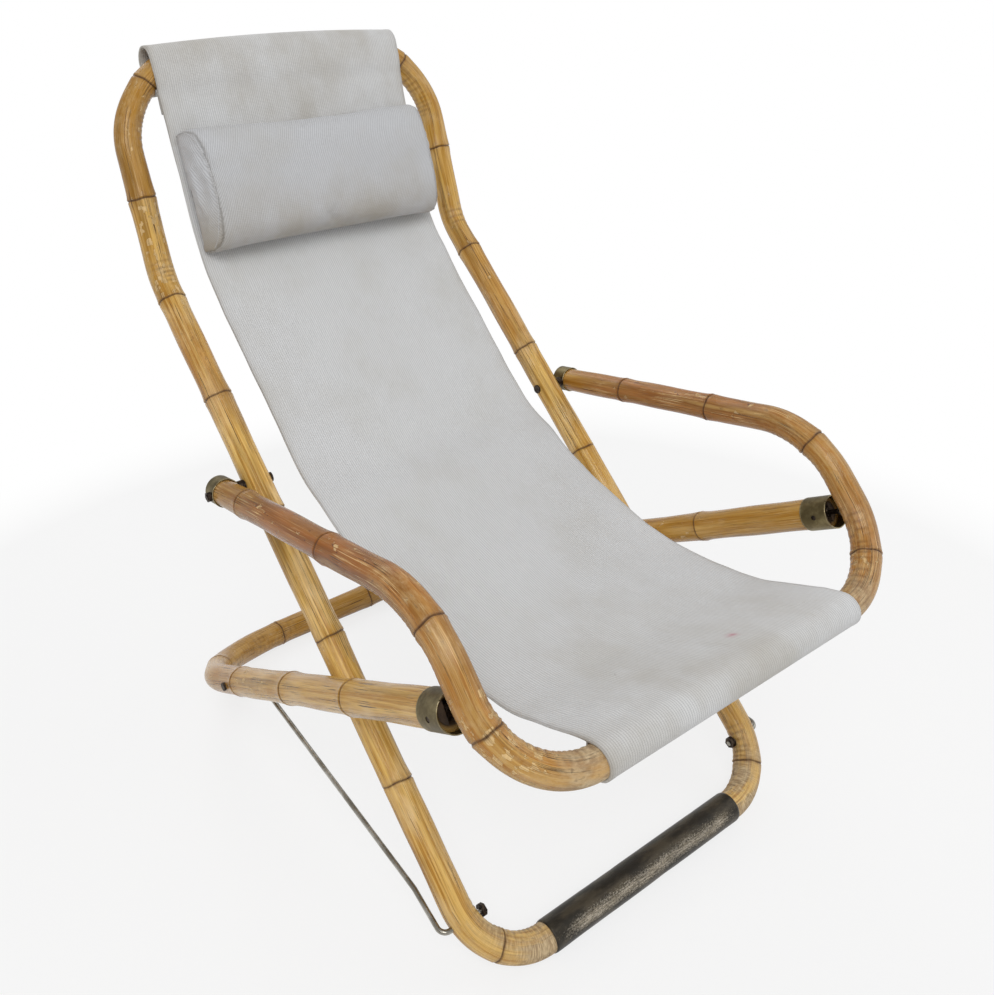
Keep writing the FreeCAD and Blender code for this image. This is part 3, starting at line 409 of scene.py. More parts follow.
def placed(name, data):
    """A mesh, lamp or camera, put into the scene."""
    made = bpy.data.objects.new(name, data)
    bpy.context.scene.collection.objects.link(made)
    return made


def store(mesh, attributes):
    """Store numbers or vectors on a mesh's points."""
    for key, values in attributes.items():
        values = np.asarray(values, dtype=np.float32)
        kind, field = ("FLOAT_VECTOR", "vector") if values.ndim == 2 else ("FLOAT", "value")
        mesh.attributes.new(key, kind, "POINT").data.foreach_set(field, values.ravel())


def mesh_object(name, vertices, faces, material, attributes=None, smooth=True):
    """A mesh object from arrays, with values stored on its points."""
    mesh = bpy.data.meshes.new(name)
    mesh.from_pydata([tuple(map(float, v)) for v in vertices], [], [tuple(map(int, f)) for f in faces])
    mesh.update()
    mesh.polygons.foreach_set("use_smooth", [smooth] * len(mesh.polygons))
    store(mesh, attributes or {})
    mesh.materials.append(material)
    return placed(name, mesh)


def tube_faces(rows, sides, closed=False):
    """Quads between rows of points that each go once round a tube."""
    faces = []
    for row in range(rows if closed else rows - 1):
        low, high = row * sides, (row + 1) % rows * sides
        for side in range(sides):
            after = (side + 1) % sides
            faces.append((low + side, low + after, high + after, high + side))
    return faces


def fix_normals(made):
    """Turn a closed mesh's faces outward."""
    mesh = bmesh.new()
    mesh.from_mesh(made.data)
    bmesh.ops.recalc_face_normals(mesh, faces=mesh.faces)
    mesh.to_mesh(made.data)
    mesh.free()


# Poles.

POLE_SIDES = 56
POLE_STEP = 0.0035
RING_STEPS = (0, 0.0009, 0.0018, 0.003, 0.005, 0.008)
CLOSEST_ROWS = 0.0004
NODE_SWELL = 0.0009
NODE_LIP = 0.0004
NODE_GROOVE = 0.0013
CREASE_HEIGHT = 0.00045
CREASE_PITCH = 0.0085
LOW_SHARE = 0.85
HOLLOW_DEPTH = 0.030


def rounded_path(points, radii, rings):
    """Rows along straight runs joined by arcs: places, directions, inward bends and lengths.

    The rows lie closer together beside each ring.
    """
    pieces = []
    start = points[0]
    for corner, radius, after in zip(points[1:-1], radii, points[2:]):
        back = (start - corner).normalized()
        ahead = (after - corner).normalized()
        half = back.angle(ahead) / 2
        trim = radius / math.tan(half)
        centre = corner + (back + ahead).normalized() * (radius / math.sin(half))
        arc_start = corner + back * trim
        pieces.append((start, -back, None, (arc_start - start).length))
        pieces.append((arc_start, -back, centre, radius * (math.pi - 2 * half)))
        start = corner + ahead * trim
    last_run = points[-1] - start
    pieces.append((start, last_run.normalized(), None, last_run.length))
    total = sum(length for *_, length in pieces)
    lengths = set(np.linspace(0, total, int(total / POLE_STEP) + 1).tolist())
    for ring in rings:
        for offset in RING_STEPS:
            lengths.update(place for place in (ring - offset, ring + offset) if 0 < place < total)
    kept, rows = [], []
    for value in sorted(lengths):
        if not kept or value - kept[-1] > CLOSEST_ROWS:
            kept.append(value)
    for rest in kept:
        for begin, way, centre, length in pieces:
            if rest <= length or begin is start:
                break
            rest -= length
        if centre is None:
            rows.append((begin + way * rest, way, Vector((0, 0, 0))))
            continue
        spoke = begin - centre
        radius = spoke.length
        outward = turned(spoke, way * radius, rest / radius)
        rows.append((centre + outward, turned(way, -spoke / radius, rest / radius), -outward / radius ** 2))
    positions, tangents, inwards = zip(*rows)
    return np.array(positions), tangents, np.array(inwards), np.array(kept)


def pole_ways(tangents, angles):
    """The directions round a pole at each of its rows, without twist along it."""
    normal = Vector((1, 0, 0)) if abs(tangents[0].x) < 0.9 else Vector((0, 0, 1))
    ways = []
    for tangent in tangents:
        normal = (normal - tangent * normal.dot(tangent)).normalized()
        other = np.array(tangent.cross(normal))
        ways.append(np.array(normal) * np.cos(angles)[:, None] + other * np.sin(angles)[:, None])
    return np.array(ways)


def add_hollow(vertices, faces, outer, centre, ways, inward, bore):
    """Close one end of a pole with a rim and a short hollow; outer is the first point of its last row."""
    rim_start = len(vertices)
    deep = rim_start + POLE_SIDES
    mouth = centre + ways * bore
    depth = inward * HOLLOW_DEPTH
    for side in range(POLE_SIDES):
        after = (side + 1) % POLE_SIDES
        for face in ((outer + side, rim_start + side, rim_start + after, outer + after),
                     (rim_start + side, deep + side, deep + after, rim_start + after),
                     (deep + side, deep + POLE_SIDES, deep + after)):
            faces.append(face if outer == 0 else face[::-1])
    return np.vstack([vertices, mouth, mouth + depth, (centre + depth)[None]])


def pole(name, points, radii, radius, bore, rings, tones, low=0, seed=0, **marks):
    """A bamboo pole along a bent path, with node rings, swellings, creased bends and hollow ends.

    tones has a value for each stretch between nodes. A mark, such as worn, red or bare, has (start, stop,
    amount) along the pole. On the side that faces low times +X the swellings stay low, to clear the tie rod.
    """
    centres, tangents, inwards, lengths = rounded_path(points, radii, [place for place, tilt in rings])
    angles = np.linspace(0, 2 * math.pi, POLE_SIDES, endpoint=False)
    ways = pole_ways(tangents, angles)
    along = np.repeat(lengths[:, None], POLE_SIDES, axis=1)
    values = {key: np.zeros_like(along) for key in POLE_ATTRIBUTES}
    reach = radius + 0.00035 * np.sin(along * 23 + seed) * np.cos(angles + seed)
    reach += 0.00025 * np.sin(along * 61 + 2 * angles + seed)

    # Nodes: a swelling with a groove and a lip, at a small tilt of its own.
    phases = np.random.default_rng(seed + 11).uniform(0, 2 * math.pi, len(rings) + 1)
    stretch = np.zeros(along.shape, int)
    for index, (place, tilt) in enumerate(rings):
        line = place + tilt * np.cos(angles + phases[index]) + 0.0004 * np.sin(5 * angles + index)
        distance = along - line
        stretch += distance > 0
        reach += NODE_SWELL * bell(distance, 0.010) + NODE_LIP * bell(distance - 0.0024, 0.0013)
        reach -= NODE_GROOVE * bell(distance, 0.0010)
        values["node_line"] += bell(distance, 0.0011)
        values["node_near"] += np.exp(-np.abs(distance) / 0.010)
    values["tone"] = np.array(tones)[stretch]

    # Bends: ridges and creases on the inner side.
    curvature = np.linalg.norm(inwards, axis=1)
    facing = np.einsum("nmk,nk->nm", ways, inwards) / np.maximum(curvature, 1e-9)[:, None]
    bending = np.pad(np.clip(curvature * 0.10, 0, 1), 4, mode="edge")
    bending = np.convolve(bending, np.ones(9) / 9, mode="valid")[:, None]
    inside = np.clip(facing, 0, 1) * bending
    ridge = 2 * math.pi * along / CREASE_PITCH + 1.7 * np.sin(along * 90 + seed) + 0.8 * np.sin(angles * 3)
    ridge = np.sin(ridge)
    reach += CREASE_HEIGHT * inside * ridge
    # The troughs of the creases on the bends are painted dark: painted shade in the creases.
    values["crease_shade"] = np.clip(inside * 1.3, 0, 1) * np.clip(-ridge - 0.35, 0, 1)
    values["bend"] = bending * (0.55 + 0.6 * np.abs(facing)) * (bending > 0.02)

    for key, stretches in marks.items():
        for start, stop, amount in stretches:
            values[key] += amount * np.exp(-((along - (start + stop) / 2) / ((stop - start) / 2)) ** 4)
    if low:
        beside = np.clip(ways[..., 0] * low * 2 - 0.6, 0, 1) * (along < ROD_STRETCH)
        reach -= LOW_SHARE * beside * np.maximum(reach - radius, 0)
    vertices = (centres[:, None] + ways * reach[..., None]).reshape(-1, 3)
    outside = len(vertices)
    faces = tube_faces(len(centres), POLE_SIDES)
    for outer, row, way in ((0, 0, 1), (outside - POLE_SIDES, -1, -1)):
        inward = np.array(tangents[row]) * way
        vertices = add_hollow(vertices, faces, outer, centres[row], ways[row], inward, bore)
    grids = np.broadcast_arrays(radius * np.cos(angles) + seed * 0.37, radius * np.sin(angles), along)
    attributes = {key: np.clip(grid, 0, 1).ravel() for key, grid in values.items()}
    attributes["pole_place"] = np.stack(grids, axis=2).reshape(-1, 3)
    # The rim and hollow of each end get inner = 1, which paints them dark as shade in the hollow.
    for key, flat in attributes.items():
        ends = np.full((len(vertices) - outside, *flat.shape[1:]), float(key == "inner"))
        attributes[key] = np.concatenate([flat, ends])
    made = mesh_object(name, vertices, faces, bamboo, attributes)
    return made


def bow_head(made):
    """Arch the head bar and what is on it by a few millimetres, as the bent pole is."""
    for vertex in made.data.vertices:
        below = (top_bar - vertex.co).dot(head_way)
        share = within(1 - (below - 0.02) / 0.09)
        share *= share * (3 - 2 * share)
        vertex.co += head_way * HEAD_BOW * share * (1 - 2 * (vertex.co.x / RAIL_HALF_WIDTH) ** 2)
    made.data.update()


def build_back():
    """The two bamboo halves of the back loop, each from the floor bar's middle to the top bar's."""
    seam = 0.0001
    rings_left = [(0.214, 0.001), (0.415, 0.0012), (0.591, 0.001), (0.752, 0.0015), (0.913, 0.001),
                  (1.057, 0.001), (1.192, 0.0012), (1.345, 0.003)]
    rings_right = [(0.222, 0.001), (0.380, 0.001), (0.536, 0.0012), (0.689, 0.001), (0.860, 0.001),
                   (1.037, 0.001), (1.200, 0.0012), (1.340, 0.002)]
    tones_left = (0.1, 0.05, 0.20, 0.10, 0.0, 0.05, 0.45, 0.97, 0.8)
    tones_right = (0.1, 0.2, 0.25, 0.35, 0.15, 0.2, 0.45, 0.6, 0.7)
    worn_left = [(1.03, 1.19, 1.0), (1.22, 1.42, 0.45), (0.30, 0.85, 0.35)]
    worn_right = [(0.15, 0.30, 0.6), (0.9, 1.2, 0.35)]
    red = [(0.25, 0.40, 0.2), (0.86, 1.05, 0.45), (1.36, 1.5, 0.5)]
    for side, sign, seed, rings, tones, worn in (("left", -1, 3, rings_left, tones_left, worn_left),
                                                 ("right", 1, 5, rings_right, tones_right, worn_right)):
        points = [at_side(floor_bar, sign * seam)]
        points += [at_side(corner, sign * RAIL_HALF_WIDTH) for corner in (floor_bar, rail_knee, top_bar)]
        points.append(at_side(top_bar, sign * seam))
        made = pole("bamboo_back_" + side, points, RAIL_CORNERS, RAIL_RADIUS, RAIL_BORE, rings, tones,
                    low=sign, seed=seed, worn=worn, red=red, bare=[(0.08, 0.24, 0.95)])
        bow_head(made)
        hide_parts("back_frame_" + side)
        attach(made, "back")


def side_loop(half, width):
    """A loop's corners from those of its side view: along the left side and back along the right."""
    return [at_side(p, -width) for p in half] + [at_side(p, width) for p in half[::-1]]


def build_arms():
    """The bamboo loop of the arms, from the left arm's tail round the front bar to the right one's."""
    points = side_loop([arm_pivot - arm_way * ARM_TAIL, arm_knee, front_bar], ARM_HALF_WIDTH)
    rings = [(0.076, 0.001), (0.259, 0.0012), (0.430, 0.0015), (0.530, 0.002), (0.700, 0.001),
             (0.900, 0.001), (1.097, 0.0015), (1.240, 0.001), (1.387, 0.001), (1.532, 0.001)]
    tones = (0.7, 0.55, 0.5, 0.35, 0.2, 0.3, 0.3, 0.35, 0.4, 0.45, 0.5)
    worn = [(0.02, 0.5, 0.35), (0.50, 0.60, 0.85), (1.0, 1.12, 0.6), (1.2, 1.6, 0.3)]
    red = [(0.02, 0.47, 1.0), (0.47, 0.70, 0.50), (0.96, 1.20, 0.70), (1.20, 1.64, 0.90)]
    made = pole("bamboo_arms", points, (ARM_BEND, FRONT_CORNER, FRONT_CORNER, ARM_BEND), ARM_RADIUS,
                ARM_BORE, rings, tones, seed=8, worn=worn, red=red,
                bare=[(0.600, 0.660, 0.85), (1.00, 1.06, 0.6)])
    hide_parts("arm_frame")
    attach(made, "arms")


def build_base():
    """The bamboo loop of the base, from the left ferrule round the rear bar to the right one."""
    points = side_loop([base_hinge - base_way * BASE_LEAD, rear_bar], BASE_HALF_WIDTH)
    rings = [(0.182, 0.001), (0.345, 0.001), (0.509, 0.0012), (0.680, 0.001), (0.851, 0.001),
             (1.020, 0.001), (1.190, 0.001), (1.360, 0.001), (1.550, 0.001), (1.740, 0.001)]
    tones = (0.42, 0.46, 0.56, 0.66, 0.9, 0.9, 0.9, 0.9, 0.9, 0.85, 0.8)
    worn = [(0.3, 0.6, 0.5), (0.6, 0.9, 0.4), (1.0, 1.3, 0.3), (1.5, 1.8, 0.35)]
    red = [(0.5, 0.62, 0.4), (1.3, 1.45, 0.4)]
    made = pole("bamboo_base", points, (REAR_CORNER, REAR_CORNER), BASE_RADIUS, BASE_BORE, rings, tones,
                seed=13, worn=worn, red=red)
    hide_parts("base_frame")
    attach(made, "base")


# The sling.

SLING_HALF_WIDTH = 0.185
SLING_NECK = 0.004
SLING_RAIL_OFFSET = 0.0143
SLING_COLUMNS = 73
HEM = 0.011
FRONT_HOLD = 0.024
HEAD_HOLD = 0.05
FRONT_SLOPE = 15
PROFILE_STEP = 0.0045
TAIL_TUCK = 0.012
TAIL_ROWS = 6
STAIN_PLACE = (0.045, 0.135)
STAIN_RADIUS = 0.004


def forward_normal(way):
    """At right angles to a way up the chair, towards the sitter."""
    return Vector((0, -way.z, way.y))


front_lead = side_way(-FRONT_SLOPE)
front_lift = forward_normal(front_lead)


def pocket_depth():
    """How far the top pocket reaches below the bar's middle."""
    straight = RAIL_HALF_WIDTH - RAIL_CORNERS[2]
    tilt = math.asin((SLING_HALF_WIDTH - 0.002 - straight) / RAIL_CORNERS[2])
    drop = RAIL_CORNERS[2] * (1 - math.cos(tilt))
    return drop + RAIL_RADIUS / math.cos(tilt) - RAIL_RADIUS + CLOTH_GAP


def sling_points():
    """The sling's upper face from the front wall of the pocket to the top of the front sleeve."""
    head_normal = forward_normal(head_way)
    wall = RAIL_RADIUS + CLOTH_GAP + CLOTH
    low = top_bar - head_way * pocket_depth()
    points = [
        low + head_way * CLOTH + head_normal * wall,
        low - head_way * wall * 0.45 + head_normal * (wall - 0.6 * CLOTH),
        low - head_way * wall * 1.2 + head_normal * (SLING_RAIL_OFFSET + 0.65 * CLOTH),
    ]
    for share, rise in ((0.42, 0.0), (0.66, 0.0), (0.93, 0.003)):
        points.append(top_bar - head_way * HEAD_LENGTH * share + head_normal * (SLING_RAIL_OFFSET + rise))
    rail_normal = forward_normal(rail_way)
    for share, height in ((0.076, 0.014), (0.15, 0.0115), (0.286, 0.009), (0.36, 0.011)):
        points.append(rail_knee - rail_way * RAIL_LENGTH * share + rail_normal * height)
    seat_line = front_bar - arm_pivot
    seat_normal = forward_normal(seat_line).normalized()
    for share, depth in ((0.128, 0.017), (0.26, 0.041), (0.375, 0.053), (0.49, 0.060), (0.606, 0.058),
                         (0.72, 0.047), (0.797, 0.035)):
        points.append(arm_pivot + seat_line * share + seat_normal * depth)
    sleeve = ARM_RADIUS + CLOTH_GAP + CLOTH
    leave = front_bar + front_lift * sleeve
    return points + [leave + front_lead * sleeve, leave]


def smooth_line(points):
    """Evenly spaced places on a smooth curve through the points."""
    dense = []
    padded = [points[0] * 2 - points[1]] + points + [points[-1] * 2 - points[-2]]
    for a, b, c, d in zip(padded, padded[1:], padded[2:], padded[3:]):
        ta, tb, tc = (b - a).length ** 0.5, (c - b).length ** 0.5, (d - c).length ** 0.5
        m1 = ((b - a) / ta - (c - a) / (ta + tb) + (c - b) / tb) * tb
        m2 = ((c - b) / tb - (d - b) / (tb + tc) + (d - c) / tc) * tb
        for count in range(24):
            t = count / 24
            dense.append(b * (2 * t ** 3 - 3 * t ** 2 + 1) + m1 * (t ** 3 - 2 * t ** 2 + t)
                         + c * (-2 * t ** 3 + 3 * t ** 2) + m2 * (t ** 3 - t ** 2))
    dense.append(points[-1])
    return even_line(dense)


def even_line(dense):
    """The same line with evenly spaced places."""
    travelled = lengths_along(dense)
    wanted = np.linspace(0, travelled[-1], max(2, int(travelled[-1] / PROFILE_STEP)))
    columns = [np.interp(wanted, travelled, [p[axis] for p in dense]) for axis in range(3)]
    return [Vector(v) for v in zip(*columns)]


def lengths_along(line):
    """The length travelled along a line at each of its points."""
    return np.concatenate([[0], np.cumsum([(b - a).length for a, b in zip(line, line[1:])])])


def line_normal(line, index):
    """At right angles to a line of the side plane, at one of its points."""
    tangent = (line[min(index + 1, len(line) - 1)] - line[max(index - 1, 0)]).normalized()
    return Vector((0, tangent.z, -tangent.y))


def sling_line():
    """The middle of the cloth: round the top bar, down the back and seat, round the front bar."""
    half = CLOTH / 2
    surface = smooth_line(sling_points())
    middle = []
    for index, point in enumerate(surface):
        normal = line_normal(surface, index)
        middle.append(point - normal * math.copysign(half, normal.z))
    radius = RAIL_RADIUS + CLOTH_GAP + half
    ahead = forward_normal(head_way)
    low = top_bar - head_way * pocket_depth()

    def round_bar(centre, up, degrees):
        """Places at angles from straight behind a centre, turning towards up."""
        turns = [math.radians(angle) for angle in degrees]
        return [centre - ahead * radius * math.cos(turn) + up * radius * math.sin(turn) for turn in turns]

    behind = [top_bar - head_way * down + ahead * out
              for down, out in ((0.068, 0.0106), (0.058, 0.0108), (0.050, 0.0114), (0.044, 0.0125))]
    behind += round_bar(low, -head_way, range(130, 0, -13))
    behind += [low - ahead * radius, top_bar - ahead * radius]
    over = round_bar(top_bar, head_way, [180 * count / 14 for count in range(1, 14)])
    over.append(top_bar + ahead * radius)
    sleeve = ARM_RADIUS + CLOTH_GAP + half
    under = []
    for count in range(1, 21):
        angle = math.radians(290) * count / 20
        beside = front_bar - front_lead * sleeve * math.sin(angle)
        under.append(beside + front_lift * sleeve * math.cos(angle))
    tail = [front_bar + front_lead * back + front_lift * up
            for back, up in ((0.0195, 0.0105), (0.0225, 0.0134), (0.0250, 0.0144))]
    return even_line(behind + over + middle + under + tail)


def sling_width(point):
    """Half of the sling's width at a place on its line."""
    down = within((top_bar.z - point.z) / (top_bar.z - front_bar.z))
    forward = within((top_bar.y - point.y) / (top_bar.y - front_bar.y))
    return SLING_HALF_WIDTH - SLING_NECK * math.sin(math.pi * (down + forward) / 2) ** 0.8


def head_share(point):
    """How far a place lies below the top bar, along the head of the chair."""
    return (top_bar - point).dot(head_way) if point.z > rail_knee.z else 1.0


def sling_faces(rows, across, offset):
    """The faces of a sheet with an upper and a lower side, closed along its edges."""
    faces = []
    for row in range(rows - 1):
        first, last = row * across, (row + 1) * across - 1
        for a in range(first, last):
            faces.append((a, a + 1, a + across + 1, a + across))
            faces.append((offset + a, offset + a + across, offset + a + across + 1, offset + a + 1))
        for a, way in ((first, 1), (last, -1)):
            faces.append((a, a + across, offset + a + across, offset + a)[::way])
    for first, way in ((0, 1), ((rows - 1) * across, -1)):
        for a in range(first, first + across - 1):
            faces.append((a + 1, a, offset + a, offset + a + 1)[::way])
    return faces


def sling_waves(length, column):
    """How far the free cloth lies off its smooth form: up, and to the side."""
    edge = 1 - abs(column)
    lift = 0.0022 * ripple(length * 9, column * 2.3, 3.7) * (1 - 0.5 * edge)
    lift += 0.0007 * ripple(length * 34, column * 11, 9.1)
    lift += 0.0018 * ripple(length * 22, column * 1.2, 21.0) * math.exp(-edge / 0.06)
    return lift, 0.0012 * ripple(length * 14, column, 5.5)


def build_sling():
    """One sheet of canvas, hemmed along both edges, sewn round the two bars."""
    line = sling_line()
    rows = len(line)
    columns = np.linspace(-1, 1, SLING_COLUMNS).tolist()
    travelled = lengths_along(line)
    top, low, places, dirt_and_shade_levels, stains = [], [], [], [], []
    for index, point in enumerate(line):
        normal = line_normal(line, index)
        width = sling_width(point) - TAIL_TUCK * max(0.0, (index + 1 + TAIL_ROWS - rows) / TAIL_ROWS)
        from_front = (point - front_bar).length
        free = from_front >= FRONT_HOLD and (point - top_bar).length >= HEAD_HOLD
        # Darker near the front bar, as grime, and on the head above the pillow, as painted shade.
        dirt_and_head_shade = 0.06 + 0.38 * max(0.0, 1 - from_front / 0.35) ** 3
        dirt_and_head_shade += 0.34 * (head_share(point) < PILLOW_PLACE + 0.02)
        length = travelled[index]
        for column in columns:
            x = column * width
            edge = 1 - abs(column)
            lift, drift = sling_waves(length, column) if free else (0.0, 0.0)
            thick = CLOTH / 2 * (1.0 if edge * width > HEM else 1.35)
            thick -= 0.0004 * bell(edge * width - HEM, 0.0016)
            for skin, way in ((top, 1), (low, -1)):
                skin.append((x + drift, *(point + normal * (lift + way * thick)).yz))
            places.append((x, length, 0.0))
            dirt_and_shade_levels.append(dirt_and_head_shade + 0.25 * math.exp(-edge / 0.03))
            spot = math.hypot(x - STAIN_PLACE[0], length - travelled[-1] + STAIN_PLACE[1])
            stains.append(bell(spot, STAIN_RADIUS))
    attributes = {"cloth_place": places * 2, "dirt_and_shade": dirt_and_shade_levels * 2, "stain": stains * 2}
    made = mesh_object("sling", top + low, sling_faces(rows, len(columns), len(top)), canvas, attributes)
    bow_head(made)
    fix_normals(made)
    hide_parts("sling_back", "sling_seat")
    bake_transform(made)


# The pillow.

PILLOW_HALF_WIDTH = 0.186
PILLOW_HEIGHT = 0.158
PILLOW_DEPTH = 0.058
PILLOW_END_DEPTH = 0.052
PILLOW_DROP = 0.009
END_BULGE = 0.004
SEAM_EVENING = 4
PILLOW_PLACE = 0.089
PILLOW_TILT = 1.1
PILLOW_SEAT = 1.21 * SLING_RAIL_OFFSET + 0.0006
PILLOW_TAPER = 0.015
PILLOW_BACK = 0.0012
PILLOW_ROWS = 70
PIPING = 0.0009
LOWER_PIPING = 0.0012
SWELL_FRAMES = 20


def pillow_frame():
    """The middle of the pillow's back, with its up and forward directions."""
    low = top_bar - head_way * (PILLOW_PLACE + PILLOW_HEIGHT) + forward_normal(head_way) * PILLOW_SEAT
    up_way = side_way(RAIL_LEAN + RAIL_BEND - PILLOW_TILT)
    return low + up_way * (PILLOW_HEIGHT / 2), up_way, forward_normal(up_way)


def seam_reach(ahead):
    """How far out the end seam lies, on a pillow whose ends slant in towards the front."""
    return PILLOW_HALF_WIDTH - 0.004 - PILLOW_TAPER * within(ahead / PILLOW_END_DEPTH)


def pillow_place(point, seat):
    """Where a point lies on the pillow: up, ahead, and how far beyond the end seam."""
    middle, up_way, forward_way = seat
    offset = point - middle
    ahead = offset.dot(forward_way)
    return offset.dot(up_way), ahead, abs(point.x) - seam_reach(ahead) + 0.002


def pillow_outline(count, depth, scale):
    """The outline of the pillow's end: flat at the back and full at the front."""
    power = 2 / 3.4
    half = PILLOW_HEIGHT / 2 * scale
    outline = []
    for step in range(count):
        angle = math.pi * step / (count - 1)
        up = math.copysign(abs(math.cos(angle)) ** power, math.cos(angle)) * half
        up -= PILLOW_DROP * step / (count - 1)
        outline.append((up, math.sin(angle) ** power * depth * scale + PILLOW_BACK))
    for step in range(1, count // 2):
        share = 1 - 4 * step / count
        outline.append((-share * half - PILLOW_DROP * (share + 1) / 2, PILLOW_BACK))
    return outline


def pillow_shell(seat, scale):
    """The vertices and faces of a closed cover with gusseted ends."""
    middle, up_way, forward_way = seat
    vertices = []
    for step in range(PILLOW_ROWS + 1):
        along = 2 * step / PILLOW_ROWS - 1
        depth = PILLOW_END_DEPTH + (PILLOW_DEPTH - PILLOW_END_DEPTH) * (1 - abs(along) ** 3.5)
        outline = pillow_outline(60, depth, scale)
        for up, ahead in outline:
            point = middle + up_way * up + forward_way * ahead
            vertices.append((along * seam_reach(ahead), point.y, point.z))
    sides = len(outline)
    faces = tube_faces(PILLOW_ROWS + 1, sides)
    core = middle + forward_way * PILLOW_END_DEPTH * 0.45
    for row, sign in ((0, -1), (PILLOW_ROWS, 1)):
        last = list(range(row * sides, (row + 1) * sides))
        edge = [Vector(vertices[corner]) for corner in last]
        for share in (0.8, 0.55, 0.3):
            ring = list(range(len(vertices), len(vertices) + sides))
            for point in edge:
                inner = Vector((point.x, core.y, core.z)).lerp(point, share)
                vertices.append((inner.x + sign * END_BULGE * (1 - share * share), inner.y, inner.z))
            for side in range(sides):
                after = (side + 1) % sides
                faces.append((last[side], ring[side], ring[after], last[after])[::-sign])
            last = ring
        faces.append(tuple(last)[::sign])
    return vertices, faces


def build_pillow():
    """A stuffed pillow, blown up by a cloth simulation, then seamed and piped."""
    seat = pillow_frame()
    made = mesh_object("head_pillow_cover", *pillow_shell(seat, 0.965), pillow_cloth)
    fix_normals(made)
    swell(made, voxel=0.005, pressure=3.2, cap=0.007)
    settle_pillow(made, seat)
    cloth_attributes(made, seat)
    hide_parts("head_pillow")
    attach(made, "back")
    pipe_pillow(made, seat)


def apply_modifiers(made):
    """Bake an object's modifiers into its mesh."""
    evaluated = made.evaluated_get(bpy.context.evaluated_depsgraph_get())
    mesh = bpy.data.meshes.new_from_object(evaluated)
    made.modifiers.clear()
    made.data = mesh


def swell(made, voxel, pressure, cap):
    """Blow a closed cloth up a little, so that it creases as stuffed cloth does."""
    remesh = made.modifiers.new("remesh", "REMESH")
    remesh.mode = "VOXEL"
    remesh.voxel_size = voxel
    apply_modifiers(made)
    start = np.array([v.co for v in made.data.vertices])
    cloth = made.modifiers.new("cloth", "CLOTH")
    for key, value in (("quality", 5), ("mass", 0.2), ("tension_stiffness", 25),
                       ("compression_stiffness", 12), ("bending_stiffness", 0.6),
                       ("use_pressure", True), ("uniform_pressure_force", pressure)):
        setattr(cloth.settings, key, value)
    cloth.settings.effector_weights.gravity = 0
    cloth.point_cache.frame_start = 1
    cloth.point_cache.frame_end = SWELL_FRAMES
    for count in range(1, SWELL_FRAMES + 1):
        bpy.context.scene.frame_set(count)
    apply_modifiers(made)
    bpy.context.scene.frame_set(1)
    moved = np.array([v.co for v in made.data.vertices])
    shift = moved - start
    length = np.linalg.norm(shift, axis=1)
    shift *= np.minimum(1, cap / np.maximum(length, 1e-9))[:, None]
    made.data.vertices.foreach_set("co", (start + shift).ravel())
    made.data.update()
    divide = made.modifiers.new("divide", "SUBSURF")
    divide.levels = 1
    divide.render_levels = 1
    apply_modifiers(made)
    made.data.polygons.foreach_set("use_smooth", [True] * len(made.data.polygons))


def settle_pillow(made, seat):
    """Pinch the end seams, gather the gusseted ends, dent the rest and keep the back flat."""
    middle, up_way, forward_way = seat
    for vertex in made.data.vertices:
        co = vertex.co
        up, ahead, beyond = pillow_place(co, seat)
        centre = up_way * up + forward_way * (ahead - PILLOW_DEPTH * 0.4)
        if centre.length > 0.01:
            co -= centre.normalized() * 0.0007 * bell(beyond, 0.0030) * within(ahead / 0.006)
        if beyond > 0:
            end = 0.0 if co.x > 0 else 4.0
            pucker = ripple(up * 55, ahead * 22, 4.0 + end) + 0.5 * ripple(up * 130, ahead * 60, 14.0 + end)
            co.x += math.copysign(0.0018 * pucker, co.x)
        else:
            dent = ripple(co.x * 16, up * 22, 2.0) + 0.4 * ripple(co.x * 45, up * 30, 6.0)
            co += forward_way * 0.0016 * dent * within(ahead / 0.02)
        ahead = (co - middle).dot(forward_way)
        if ahead < 0.0006:
            co += forward_way * (0.0006 - ahead)
        co.x = max(-PILLOW_HALF_WIDTH, min(PILLOW_HALF_WIDTH, co.x))
        vertex.co = co
    made.data.update()


def cloth_attributes(made, seat):
    """Store where each point lies on the cloth, for the weave, and how dark it is painted: a faint even
    grime, and painted shade growing towards the pillow's bottom.
    """
    places, dirt_and_shade_levels, seams = [], [], []
    for vertex in made.data.vertices:
        up, ahead, beyond = pillow_place(vertex.co, seat)
        angle = math.atan2(ahead - PILLOW_DEPTH * 0.3, up)
        places.append((ahead, up, 0.0) if beyond > 0 else (vertex.co.x, angle * 0.07, 0.0))
        # Darker towards the bottom of the pillow: painted shade on its downward face.
        dirt_and_shade_levels.append(0.10 + 0.75 * max(0.0, -up / (PILLOW_HEIGHT / 2)) ** 1.6)
        seams.append(bell(beyond, 0.0020))
    store(made.data, {"cloth_place": places, "dirt_and_shade": dirt_and_shade_levels, "seam": seams})


